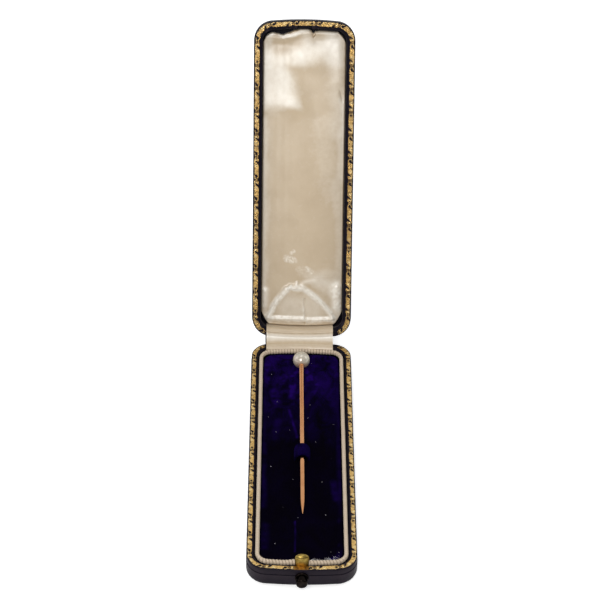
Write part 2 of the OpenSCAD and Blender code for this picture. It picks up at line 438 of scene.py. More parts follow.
def spun(profile: Points, steps: int) -> BMesh:
    """Turns a profile of (radius, height) round the Z axis into a closed solid.

    Args:
        profile: Points from one pole to the other, or round a ring's section.
        steps: Steps of the full turn.

    Returns:
        The solid, its faces outwards.
    """
    bm = bmesh.new()
    verts = [bm.verts.new((r, 0, z)) for r, z in profile]
    edges = [bm.edges.new(pair) for pair in zip(verts, verts[1:])]
    bmesh.ops.spin(bm, geom=verts + edges, axis=(0, 0, 1), cent=(0, 0, 0), steps=steps,
                   angle=2 * math.pi, use_merge=True)
    bmesh.ops.remove_doubles(bm, verts=bm.verts[:], dist=TOUCH)
    face_out(bm)
    return bm


def make_object(name: str, bm: BMesh, sharp: float = SMOOTH_ANGLE) -> Object:
    """Turns a mesh in millimetres into an object in metres.

    Args:
        name: Name of the piece.
        bm: Its mesh, which is used up.
        sharp: Angle over which an edge stays sharp.

    Returns:
        The object, at the origin.
    """
    bmesh.ops.scale(bm, vec=(MM, MM, MM), verts=bm.verts[:])
    mesh = bpy.data.meshes.new(name)
    bm.to_mesh(mesh)
    bm.free()
    mesh.shade_smooth()
    mesh.set_sharp_from_angle(angle=sharp)
    piece = bpy.data.objects.new(name, mesh)
    bpy.context.scene.collection.objects.link(piece)
    return piece


def settle(piece: Object) -> None:
    """Applies a piece's modifiers to its mesh."""
    bpy.context.view_layer.update()
    shaped = bpy.data.meshes.new_from_object(piece.evaluated_get(bpy.context.evaluated_depsgraph_get()))
    shaped.name = piece.name
    piece.modifiers.clear()
    piece.data = shaped


def refine(piece: Object, levels: int) -> None:
    """Gives a piece a subdivision surface and applies it."""
    modifier = piece.modifiers.new("surface", "SUBSURF")
    modifier.levels = levels
    modifier.render_levels = levels
    settle(piece)


class Recipe:
    """Node tree of one finish while it is put together."""

    def __init__(self, name: str) -> None:
        """Starts a material with a bare Principled shader."""
        self.material = bpy.data.materials.new(name)
        self.material.use_nodes = True
        self.tree = self.material.node_tree
        self.tree.nodes.clear()
        self.shader = self.tree.nodes.new("ShaderNodeBsdfPrincipled")
        output = self.tree.nodes.new("ShaderNodeOutputMaterial")
        self.tree.links.new(self.shader.outputs["BSDF"], output.inputs["Surface"])

    def node(self, kind: str, inputs: dict[str | int, object] | None = None, **settings: object) -> Node:
        """Adds a node.

        Args:
            kind: Node type without its ShaderNode prefix.
            inputs: Values or sockets for its inputs.
            settings: Values of its properties.

        Returns:
            The node.
        """
        made = self.tree.nodes.new("ShaderNode" + kind)
        for key, value in settings.items():
            setattr(made, key, value)
        for key, value in (inputs or {}).items():
            if isinstance(value, NodeSocket):
                self.tree.links.new(value, made.inputs[key])
            else:
                made.inputs[key].default_value = value
        return made

    def place(self, scale: Spot = (1, 1, 1), turn: Spot = (0, 0, 0), source: str = "Object") -> NodeSocket:
        """Coordinates in millimetres, stretched and turned.

        Args:
            scale: Factors on the three axes.
            turn: Turns about them in degrees.
            source: Output of the Texture Coordinate node.

        Returns:
            The vector socket.
        """
        unit = 1 / MM if source == "Object" else 1
        coords = self.node("TexCoord")
        spin = tuple(math.radians(a) for a in turn)
        mapped = self.node("Mapping", {"Vector": coords.outputs[source], "Rotation": spin,
                                       "Scale": tuple(s * unit for s in scale)})
        return mapped.outputs["Vector"]

    def noise(self, where: NodeSocket, size: float, detail: float = 2.0,
              rough: float = 0.5, warp: float = 0.0) -> NodeSocket:
        """Noise whose lumps measure about the given size."""
        made = self.node("TexNoise", {"Vector": where, "Scale": 1 / size, "Detail": detail,
                                      "Roughness": rough, "Distortion": warp})
        return made.outputs["Fac"]

    def cells(self, where: NodeSocket, size: float) -> NodeSocket:
        """Distance pattern of scattered cells of about the given size."""
        return self.node("TexVoronoi", {"Vector": where, "Scale": 1 / size}).outputs["Distance"]

    def waves(self, where: NodeSocket, pitch: float, warp: float) -> NodeSocket:
        """Sine lines a pitch apart along X."""
        made = self.node("TexWave", {"Vector": where, "Scale": WAVES_PER_UNIT / pitch, "Distortion": warp},
                         wave_type="BANDS", bands_direction="X", wave_profile="SIN")
        return made.outputs["Fac"]

    def sums(self, operation: str, *values: object) -> NodeSocket:
        """Result of one Math node."""
        made = self.node("Math", dict(enumerate(values)), operation=operation)
        return made.outputs[0]

    def most(self, *values: NodeSocket) -> NodeSocket:
        """The greatest of several values."""
        return reduce(lambda a, b: self.sums("MAXIMUM", a, b), values)

    def both(self, first: NodeSocket, one: float, second: NodeSocket, other: float) -> NodeSocket:
        """Sum of two values, each times its weight."""
        return self.sums("MULTIPLY_ADD", first, one, self.sums("MULTIPLY", second, other))

    def band(self, value: NodeSocket, low: float, high: float, start: float = 0.0,
             stop: float = 1.0) -> NodeSocket:
        """Maps a value from one range to another and holds it there."""
        made = self.node("MapRange", {"Value": value, "From Min": low, "From Max": high,
                                      "To Min": start, "To Max": stop}, clamp=True)
        return made.outputs["Result"]

    def tint(self, share: NodeSocket, first: object, second: object) -> NodeSocket:
        """Mixes two colours by a share."""
        colours = {6: self.rgba(first), 7: self.rgba(second)}
        return self.node("Mix", {0: share, **colours}, data_type="RGBA").outputs[2]

    def rgba(self, colour: object) -> object:
        """Adds an alpha to a plain colour and leaves a socket as it is."""
        return (*colour, 1.0) if isinstance(colour, tuple) else colour

    def axis(self, where: NodeSocket, name: str) -> NodeSocket:
        """One coordinate of a vector."""
        return self.node("SeparateXYZ", {"Vector": where}).outputs[name]

    def near(self, where: NodeSocket, spot: Spot, inner: float, outer: float) -> NodeSocket:
        """Share that is 1 up to one distance from a spot and 0 past another."""
        away = self.node("VectorMath", {0: where, 1: spot}, operation="DISTANCE")
        return self.band(away.outputs["Value"], inner, outer, 1.0, 0.0)

    def value_of(self, attribute: str) -> NodeSocket:
        """A number stored on the mesh."""
        return self.node("Attribute", attribute_name=attribute).outputs["Fac"]

    def bump(self, height: NodeSocket, depth: float, strength: float) -> NodeSocket:
        """Bump of a depth in millimetres."""
        made = self.node("Bump", {"Height": height, "Distance": depth * MM, "Strength": strength})
        return made.outputs["Normal"]

    def done(self, **values: object) -> Material:
        """Sets or links the shader's inputs.

        Args:
            values: Values or sockets, named as the inputs with underscores for spaces.

        Returns:
            The finished material.
        """
        for key, value in values.items():
            name = key.replace("_", " ")
            socket = self.shader.inputs[name]
            if isinstance(value, NodeSocket):
                self.tree.links.new(value, socket)
            elif isinstance(value, tuple) and socket.type == "RGBA":
                socket.default_value = (*value, 1.0)
            else:
                socket.default_value = value
        return self.material


@dataclass(frozen=True)
class MoroccoLeather:
    """Near-black aubergine leather with a fine grain, lighter on its edges for wear and for a painted
    glint.
    """

    dye: Colour = (0.0050, 0.0038, 0.0080)
    worn_and_highlit: Colour = (0.045, 0.033, 0.040)
    faded: Colour = (0.0072, 0.0056, 0.0115)
    # Sizes of the faded patches, the grain, the creases in it and the polished places
    patch: float = 3.5
    grain: float = 0.34
    crease: float = 0.22
    polish: float = 1.1
    relief: float = 0.045

    def material(self) -> Material:
        """Builds the finish.

        Returns:
            The material.
        """
        recipe = Recipe("leather")
        where = recipe.place()
        drift = recipe.noise(where, self.patch, 4, 0.6)
        cells = recipe.cells(recipe.place((1, 0.72, 1)), self.grain)
        creases = recipe.noise(where, self.crease, 5, 0.65)
        edge = recipe.node("NewGeometry").outputs["Pointiness"]
        # Lighter edges found by pointiness: partly wear, partly a painted glint where the rounded edges
        # catch the light
        edge_wear_and_glint = recipe.band(recipe.sums("ADD", edge, recipe.sums("MULTIPLY", drift, 0.05)), 0.535, 0.60)
        colour = recipe.tint(recipe.sums("MULTIPLY", edge_wear_and_glint, 0.65), self.dye, self.worn_and_highlit)
        shade = recipe.tint(recipe.band(drift, 0.35, 0.7, 0.0, 0.55), colour, self.faded)
        gloss = recipe.band(recipe.noise(where, self.polish, 3), 0.3, 0.7, 0.34, 0.5)
        height = recipe.both(cells, 0.7, creases, 0.5)
        return recipe.done(Base_Color=shade, Roughness=gloss, Specular_IOR_Level=0.045,
                           Coat_Weight=0.02, Coat_Roughness=0.12,
                           Normal=recipe.bump(height, self.relief, 0.55))


@dataclass(frozen=True)
class GoldLeaf:
    """Gold leaf pressed into leather, with painted shade round the deep strokes and painted highlights,
    dirty and worn through in places.
    """

    gold: Colour = (0.71, 0.425, 0.115)
    # Pale gold of the painted highlights
    pale: Colour = (0.98, 0.77, 0.39)
    # Brown of the painted shade, of the dirt and of the dulled rims
    brown: Colour = (0.105, 0.062, 0.030)
    worn: Colour = (0.018, 0.011, 0.009)
    # Sizes of the worn places, their crumbly edges, the dirty places and the mottling
    patch: float = 1.6
    crumb: float = 0.16
    dirty: float = 2.0
    mottle: float = 0.5
    # Strokes of dirt across the roll: distance apart, turn in degrees
    strokes: tuple[float, float] = (1.05, 34)
    # Deep strokes of the roll, with painted shade round them: place along and across one repeat, reach of
    # the shade
    painted_shade_at: tuple[Spot, ...] = (
        (5.86, 0.60, 0.70), (1.55, 0.30, 0.70), (0.12, 0.60, 0.52), (6.72, 0.60, 0.52), (3.5, 1.15, 0.40))
    # Painted highlights on the roll: place along and across, reach
    painted_highlight_at: tuple[Spot, ...] = ((0.92, 0.72, 0.45), (6.35, 0.95, 0.40), (2.6, 0.75, 0.7))

    def material(self) -> Material:
        """Builds the finish.

        Returns:
            The material.
        """
        recipe = Recipe("gilt")
        where = recipe.place()
        roll = recipe.place(source="UV")
        drift = recipe.noise(where, self.patch, 4, 0.6)
        fine = recipe.noise(where, self.crumb, 3, 0.6)
        across = recipe.axis(roll, "Y")
        edge = recipe.most(recipe.band(across, 0.0, 0.20, 0.13, 0.0),
                           recipe.band(across, 1.00, 1.20, 0.0, 0.13))
        wear = recipe.sums("ADD", recipe.both(drift, 0.62, fine, 0.38), edge)
        lost = recipe.band(recipe.sums("ADD", wear, recipe.value_of("wear")), 0.60, 0.68)
        # Painted highlight, paler on the outer half and on the listed spots, with random pale crumbs
        light = recipe.most(recipe.band(across, 0.45, 1.15, 0.0, 0.45),
                            recipe.band(fine, 0.44, 0.7, 0.0, 0.7),
                            *self.spots(recipe, roll, self.painted_highlight_at, 0.15))
        # Painted shade round the deep strokes, then dirt strokes and mottling
        shade_and_dirt = recipe.most(*self.spots(recipe, roll, self.painted_shade_at, 0.20))
        shade_and_dirt = recipe.sums("MULTIPLY", shade_and_dirt, recipe.band(drift, 0.35, 0.60, 0.55, 1.0))
        apart, turn = self.strokes
        strokes = recipe.waves(recipe.place(turn=(0, 0, turn), source="UV"), apart, 3.0)
        places = recipe.band(recipe.noise(where, self.dirty, 2, 0.5), 0.53, 0.66, 0.0, 0.6)
        strokes = recipe.sums("MULTIPLY", recipe.band(strokes, 0.66, 0.95), places)
        mottle = recipe.noise(where, self.mottle, 3, 0.6, 0.4)
        shade_and_dirt = recipe.most(shade_and_dirt, strokes, recipe.band(mottle, 0.57, 0.70, 0.0, 0.55))
        colour = recipe.tint(shade_and_dirt, recipe.tint(light, self.gold, self.pale), self.brown)
        colour = recipe.tint(recipe.value_of("dull"), colour, self.brown)
        return recipe.done(Base_Color=recipe.tint(lost, colour, self.worn),
                           Metallic=recipe.band(lost, 0, 1, 1.0, 0.0),
                           Roughness=recipe.band(drift, 0.3, 0.7, 0.20, 0.36),
                           Normal=recipe.bump(recipe.sums("ADD", mottle, fine), 0.10, 0.85))

    def spots(self, recipe: Recipe, roll: NodeSocket, places: Sequence[Spot],
              core: float) -> list[NodeSocket]:
        """Shares that are 1 in the core of places on the roll and fade out to their reach."""
        return [recipe.near(roll, (along, aside, 0.0), core, reach) for along, aside, reach in places]


@dataclass(frozen=True)
class CutVelvet:
    """Violet-blue cut pile with painted sheen in patchy flecks that grow towards the hinge and along lines
    stored on the mesh.
    """

    name: str = "velvet"
    deep: Colour = (0.0006, 0.0001, 0.0018)
    # Colour of the painted sheen
    lit: Colour = (0.0135, 0.0016, 0.105)
    sheen: Colour = (0.16, 0.06, 0.85)
    sheen_weight: float = 0.008
    # Sizes of the patches, the pile's flecks and its tufts
    patch: float = 4.5
    fleck: float = 0.16
    tuft: float = 0.19
    relief: float = 0.16
    # Places along the case between which the painted sheen on the flecks grows
    fade_from: float = 2.0
    fade_to: float = 37.0

    def material(self) -> Material:
        """Builds the finish.

        Returns:
            The material.
        """
        recipe = Recipe(self.name)
        where = recipe.place()
        patches = recipe.noise(recipe.place((1, 0.6, 1)), self.patch, 4, 0.62, 0.6)
        pile = recipe.noise(where, self.fleck, 3, 0.7)
        tufts = recipe.cells(where, self.tuft)
        # Painted sheen that grows towards the hinge
        sheen_ramp = recipe.band(recipe.axis(where, "Y"), self.fade_from, self.fade_to, 0.035, 0.75)
        fleck = recipe.band(recipe.both(pile, 0.5, patches, 0.5), 0.45, 0.61)
        # Painted sheen along the lines stored on the mesh
        painted_sheen = recipe.sums("MULTIPLY", recipe.value_of("lay"), recipe.band(pile, 0.3, 0.6, 0.45, 1.2))
        share = recipe.most(recipe.sums("MULTIPLY", fleck, sheen_ramp), painted_sheen)
        colour = recipe.tint(share, self.deep, self.lit)
        return recipe.done(Base_Color=colour, Roughness=0.95, Specular_IOR_Level=0.02,
                           Sheen_Weight=self.sheen_weight, Sheen_Roughness=0.38, Sheen_Tint=self.sheen,
                           Normal=recipe.bump(recipe.both(tufts, -0.8, pile, 1.0), self.relief, 0.9))


@dataclass(frozen=True)
class SilkCord:
    """Champagne silk wound over a core, its threads along each rib."""

    name: str = "silk_cord"
    light: Colour = (0.62, 0.50, 0.37)
    shade: Colour = (0.20, 0.135, 0.085)
    aged: Colour = (0.50, 0.39, 0.26)
    sheen: Colour = (1.0, 0.93, 0.84)
    patch: float = 3.0
    thread: float = 0.07
    relief: float = 0.03

    def material(self) -> Material:
        """Builds the finish.

        Returns:
            The material.
        """
        recipe = Recipe(self.name)
        painted_rib_shade = recipe.value_of("painted_rib_shade")
        drift = recipe.noise(recipe.place(), self.patch, 3)
        threads = recipe.waves(recipe.place(source="UV"), self.thread, 0.4)
        # Painted shade between the ribs, from the share stored on the mesh
        colour = recipe.tint(recipe.band(painted_rib_shade, 0.1, 0.9), self.light, self.shade)
        colour = recipe.tint(recipe.band(drift, 0.4, 0.7, 0.0, 0.35), colour, self.aged)
        return recipe.done(Base_Color=colour, Roughness=0.52, Specular_IOR_Level=0.4,
                           Sheen_Weight=0.25, Sheen_Roughness=0.4, Sheen_Tint=self.sheen,
                           Normal=recipe.bump(threads, self.relief, 0.6))


@dataclass(frozen=True)
class CreamSatin:
    """Cream silk satin in its own toned colour, aged in patches, with a painted highlight where the mesh's
    stored share says so.
    """

    name: str = "satin"
    source: str = "Object"
    painted_highlight: Colour = (0.85, 0.79, 0.69)
    toned: Colour = (0.525, 0.408, 0.265)
    aged: Colour = (0.47, 0.355, 0.220)
    sheen: Colour = (0.94, 0.96, 1.0)
    # Sizes of the aged patches, of the uneven places in the painted highlight, and of the weave's threads
    # and slubs
    patch: float = 7.0
    cloud: float = 1.3
    thread: float = 0.11
    slub: float = 1.4
    relief: float = 0.012

    def material(self) -> Material:
        """Builds the finish.

        Returns:
            The material.
        """
        recipe = Recipe(self.name)
        where = recipe.place(source=self.source)
        drift = recipe.noise(where, self.patch, 3, 0.5)
        cloud = recipe.noise(where, self.cloud, 4, 0.6)
        warp = recipe.waves(where, self.thread, 0.6)
        slub = recipe.noise(recipe.place((9, 1, 1), source=self.source), self.slub, 3, 0.6)
        # Painted highlight: the share stored on the mesh, made uneven
        lay = recipe.sums("ADD", recipe.value_of("lay"), recipe.band(cloud, 0.25, 0.75, -0.09, 0.09))
        toned = recipe.tint(recipe.band(drift, 0.4, 0.75), self.toned, self.aged)
        return recipe.done(Base_Color=recipe.tint(recipe.band(lay, 0.02, 1.0), toned, self.painted_highlight),
                           Roughness=recipe.band(slub, 0.3, 0.7, 0.31, 0.40), Specular_IOR_Level=1.0,
                           Sheen_Weight=0.15, Sheen_Roughness=0.35, Sheen_Tint=self.sheen,
                           Normal=recipe.bump(recipe.both(warp, 0.25, slub, 1.0), self.relief, 0.5))


@dataclass(frozen=True)
class Metal:
    """A worked metal with fine scratches, tarnish in patches and, where given, a painted shade at its foot.
    """

    name: str
    bright: Colour
    dull: Colour
    gloss: float
    matt: float
    scratch: float = 0.004
    patch: float = 1.2
    # Heights between which a painted shade at the foot fades out upwards, below the metal where it has none
    foot_shade: tuple[float, float] = (-9.0, -8.0)
    # Share of its colour that the metal keeps under the painted shade
    foot_shade_keep: float = 0.16

    def material(self) -> Material:
        """Builds the finish.

        Returns:
            The material.
        """
        recipe = Recipe(self.name)
        where = recipe.place()
        tarnish = recipe.noise(where, self.patch, 4, 0.6)
        lines = recipe.noise(recipe.place((1, 14, 14), (8, 0, 12)), 0.9, 3, 0.7)
        share = recipe.band(tarnish, 0.38, 0.66)
        # Painted shade at the foot, darker towards the bottom
        foot = recipe.band(recipe.axis(where, "Z"), *self.foot_shade, self.foot_shade_keep, 1.0)
        colour = recipe.tint(foot, (0.0, 0.0, 0.0), recipe.tint(share, self.bright, self.dull))
        return recipe.done(Base_Color=colour, Metallic=1.0,
                           Roughness=recipe.band(tarnish, 0.3, 0.7, self.gloss, self.matt),
                           Normal=recipe.bump(lines, self.scratch, 0.5))


@dataclass(frozen=True)
class Nacre:
    """Pearl nacre: silvery cream with faint rose and green clouds, and a warm painted reflection of the
    shank where the shank enters it.
    """

    cream: Colour = (0.53, 0.475, 0.385)
    rose: Colour = (0.56, 0.44, 0.375)
    green: Colour = (0.45, 0.475, 0.375)
    shank_reflection: Colour = (0.44, 0.28, 0.17)
    # Where the shank enters, and the distances between which the painted reflection of the shank fades out
    shank_reflection_at: Spot = (0.0, 35.6, 6.2)
    shank_reflection_fade: tuple[float, float] = (1.6, 2.9)
    # Sizes of the rose and green clouds and of the surface's ripples
    rose_cloud: float = 2.6
    green_cloud: float = 3.1
    ripple: float = 0.9

    def material(self) -> Material:
        """Builds the finish.

        Returns:
            The material.
        """
        recipe = Recipe("pearl")
        where = recipe.place()
        rose = recipe.band(recipe.noise(where, self.rose_cloud, 2), 0.45, 0.7, 0.0, 0.6)
        turned = recipe.place(turn=(40, 20, 0))
        green = recipe.band(recipe.noise(turned, self.green_cloud, 2), 0.5, 0.75, 0.0, 0.6)
        colour = recipe.tint(green, recipe.tint(rose, self.cream, self.rose), self.green)
        # Painted reflection of the rose-gold shank round its entry
        low = recipe.sums("MULTIPLY", recipe.near(where, self.shank_reflection_at, *self.shank_reflection_fade), 0.9)
        colour = recipe.tint(low, colour, self.shank_reflection)
        ripple = recipe.noise(where, self.ripple, 3, 0.5)
        return recipe.done(Base_Color=colour, Metallic=0.25, Roughness=0.30, Specular_IOR_Level=0.6,
                           IOR=1.58, Coat_Weight=0.8, Coat_Roughness=0.16, Coat_IOR=1.6,
                           Normal=recipe.bump(ripple, 0.0005, 0.2))


class Finishes:
    """The finishes of the whole thing, each made once."""

    def __init__(self) -> None:
        """Builds every finish."""
        self.leather = MoroccoLeather().material()
        self.gilt = GoldLeaf().material()
        self.velvet = CutVelvet().material()
        self.loop_velvet = CutVelvet(name="loop_velvet", deep=(0.0008, 0.0001, 0.007),
                                     lit=(0.010, 0.0018, 0.085), sheen_weight=0.03, fade_from=-60,
                                     fade_to=-20).material()
        self.silk_cord = SilkCord().material()
        self.lint = SilkCord(name="lint", light=(0.66, 0.66, 0.70)).material()
        self.satin = CreamSatin().material()
        self.ribbon = CreamSatin(name="ribbon_satin", source="UV").material()
        self.rose_gold = Metal("rose_gold", (0.74, 0.36, 0.165), (0.64, 0.29, 0.125), 0.14, 0.22,
                               scratch=0.002, patch=6.0).material()
        self.brass = Metal("brass", (0.37, 0.265, 0.07), (0.17, 0.11, 0.026), 0.30, 0.40,
                           patch=1.1, foot_shade=(5.4, 6.6)).material()
        self.bronze = Metal("bronze", (0.014, 0.010, 0.008), (0.004, 0.003, 0.003), 0.10, 0.20).material()
        self.burnished = Metal("burnished_gilt", (0.42, 0.22, 0.05), (0.14, 0.065, 0.02), 0.32, 0.46,
                               patch=0.8).material()
        self.nacre = Nacre().material()


@dataclass
class SubAssembly:
    """Bench on which each part of the thing is made."""

    plan: CasePlan
    hinge: Hinge
    finishes: Finishes

    def fit(self, piece: Object, finish: Material, slot: Slot, body: Body | None,
            stands_for: Sequence[str] = ()) -> Object:
        """Dresses a piece and sets it on the frame.

        Args:
            piece: The finished mesh object.
            finish: Its material.
            slot: Material slot of the record; not used.
            body: Body that it rides on, or None for a piece that is blended over the hinge.
            stands_for: CAD nodes that it replaces.

        Returns:
            The same piece.
        """
        piece.data.materials.clear()
        piece.data.materials.append(finish)
        if body is not None:
            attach(piece, body.value)
        if stands_for:
            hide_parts(*stands_for)
        log.info("%s: %d faces", piece.name, len(piece.data.polygons))
        return piece


@dataclass(frozen=True)
class TrayShape:
    """Sizes of a leather-covered half of the case, its rim at height 0 and its board below."""

    height: float
    side_wall: float
    end_wall: float
    bevel: float
    edge_r: float
    board: float = 1.2
    band_h: float = 1.7
    groove_d: float = 0.25
    band_step: float = 0.12
    lip: float = 0.24
    small_r: float = 0.16
    crown: float = 0.0
    unevenness: float = 0.014
    lump: float = 6.0
    # Section of the groove: distance below the band and depth, as shares of the groove's depth
    groove: Line = ((1.0, 0.0), (0.78, 0.6), (0.5, 1.0), (0.22, 0.85))
    # Rings of the crown: width, share of its rise
    crown_rings: Line = ((0.8, 0.42), (0.9, 0.34), (1.0, 0.24))

    def build(self, plan: CasePlan) -> BMesh:
        """Models the half as one closed solid.

        Args:
            plan: Plan of the case.

        Returns:
            The solid.
        """
        bm = bmesh.new()
        slab = plan.slab(bm)
        shift(bm, (0, 0, self.crown - self.height))
        push_out(bm, slab, self.height - self.crown)
        round_edges(bm, slab.edges[:], self.edge_r, 9)
        self.cut_groove(bm, plan)
        top = max(bm.faces, key=lambda f: f.calc_center_median().z)
        round_edges(bm, top.edges[:], self.lip, 4)
        self.raise_crown(bm)
        top = max(bm.faces, key=lambda f: f.calc_center_median().z)
        rim = self.side_wall - self.bevel
        bmesh.ops.inset_region(bm, faces=[top], thickness=rim - self.band_step - self.lip,
                               use_even_offset=True)
        stretch = (plan.half_l - self.end_wall + self.bevel) / (plan.half_l - rim)
        bmesh.ops.scale(bm, vec=(1, stretch, 1), verts=top.verts[:])
        rim_edges = top.edges[:]
        bmesh.ops.inset_region(bm, faces=[top], thickness=self.bevel, depth=-self.bevel,
                               use_even_offset=True)
        foot_edges = top.edges[:]
        push_out(bm, top, self.board + self.bevel - self.height)
        bmesh.ops.delete(bm, geom=[top], context="FACES_ONLY")
        round_edges(bm, rim_edges + foot_edges, self.small_r, 3)
        face_out(bm)
        return bm

    def cut_groove(self, bm: BMesh, plan: CasePlan) -> None:
        """Sets the band under the rim back from the wall, with a groove below it.

        Args:
            bm: Solid half.
            plan: Plan of the case.
        """
        deep = self.groove_d
        profile = [(deep * below, deep * inset) for below, inset in self.groove] + [(0.0, self.band_step)]
        for below, _ in profile:
            bmesh.ops.bisect_plane(bm, geom=bm.verts[:] + bm.edges[:] + bm.faces[:],
                                   plane_co=(0, 0, -self.band_h - below), plane_no=(0, 0, 1))
        insets = [(-self.band_h - below, inset) for below, inset in profile] + [(0.0, self.band_step)]
        for vert in bm.verts:
            for z, inset in insets:
                if abs(vert.co.z - z) < TOUCH:
                    vert.co -= plan.outward(vert.co.x, vert.co.y) * inset

    def raise_crown(self, bm: BMesh) -> None:
        """Swells the board outwards in rings that stay inside its corners' radius."""
        if self.crown <= 0:
            return
        low = min(bm.faces, key=lambda f: f.calc_center_median().z)
        for width, share in self.crown_rings:
            bmesh.ops.inset_region(bm, faces=[low], thickness=width, depth=self.crown * share,
                                   use_even_offset=True)

    def age(self, bm: BMesh, seed: float) -> None:
        """Makes the walls a little uneven, as leather over board is.

        Args:
            bm: The half.
            seed: Place in the noise that it takes.
        """
        for vert in bm.verts:
            lump = self.unevenness * wander(vert.co.x + seed, vert.co.y, vert.co.z, self.lump)
            vert.co += Vector((lump, lump, 0.0))


@dataclass
class LeatherCase(SubAssembly):
    """Base and lid of board covered in leather."""

    base: TrayShape = TrayShape(height=CasePlan.base_h, side_wall=2.3, end_wall=2.75, bevel=0.7, edge_r=1.9)
    lid: TrayShape = TrayShape(height=8.2, side_wall=2.6, end_wall=2.6, bevel=0.84, edge_r=2.6,
                               crown=0.35)
    # Slot for the catch's leaf in the base and pocket for its head in the lid: middle, size
    leaf_slot: tuple[Spot, Spot] = ((0, -44.1, 6.2), (4.4, 4.3, 7.2))
    head_pocket: tuple[Spot, Spot] = ((0, -44.9, 1.2), (4.5, 3.84, 4.5))

    def make(self) -> None:
        """Makes both halves."""
        self.make_base()
        self.make_lid()

    def make_base(self) -> Object:
        """Makes the base, with the slot for the catch's leaf in its front wall."""
        bm = self.base.build(self.plan)
        self.base.age(bm, 3.0)
        shift(bm, (0, 0, self.base.height))
        piece = make_object("leather_base", bm)
        self.carve(piece, *self.leaf_slot)
        return self.fit(piece, self.finishes.leather, Slot.LEATHER, Body.CASE, ["base_tray"])

    def make_lid(self) -> Object:
        """Makes the lid, with the pocket for the catch's head."""
        bm = self.lid.build(self.plan)
        self.lid.age(bm, 11.0)
        turn_over(bm)
        piece = make_object("leather_lid", bm)
        self.carve(piece, *self.head_pocket)
        piece.data.transform(Matrix.Scale(MM, 4) @ self.hinge.swing() @ Matrix.Scale(1 / MM, 4))
        return self.fit(piece, self.finishes.leather, Slot.LEATHER, Body.LID, ["lid_shell"])

    def carve(self, piece: Object, middle: Spot, size: Spot) -> None:
        """Cuts a square-edged slot out of a piece.

        Args:
            piece: Piece to cut.
            middle: Middle of the slot in millimetres.
            size: Its width, length and height.
        """
        bm = bmesh.new()
        bmesh.ops.create_cube(bm, size=1)
        move(bm, Matrix.Translation(middle) @ Matrix.Diagonal((*size, 1)))
        cutter = make_object("cutter", bm)
        cut = piece.modifiers.new("slot", "BOOLEAN")
        cut.operation = "DIFFERENCE"
        cut.solver = "EXACT"
        cut.object = cutter
        settle(piece)
        piece.data.set_sharp_from_angle(angle=SMOOTH_ANGLE)
        bpy.data.objects.remove(cutter)


@dataclass(frozen=True)
class Tooling:
    """How the roll ran along one rim, and how far its gold is worn and browned."""

    inset: Inset
    backwards: bool
    seed: int
    wear: float
    dull: float
    # Factor on the border's width
    broad: float


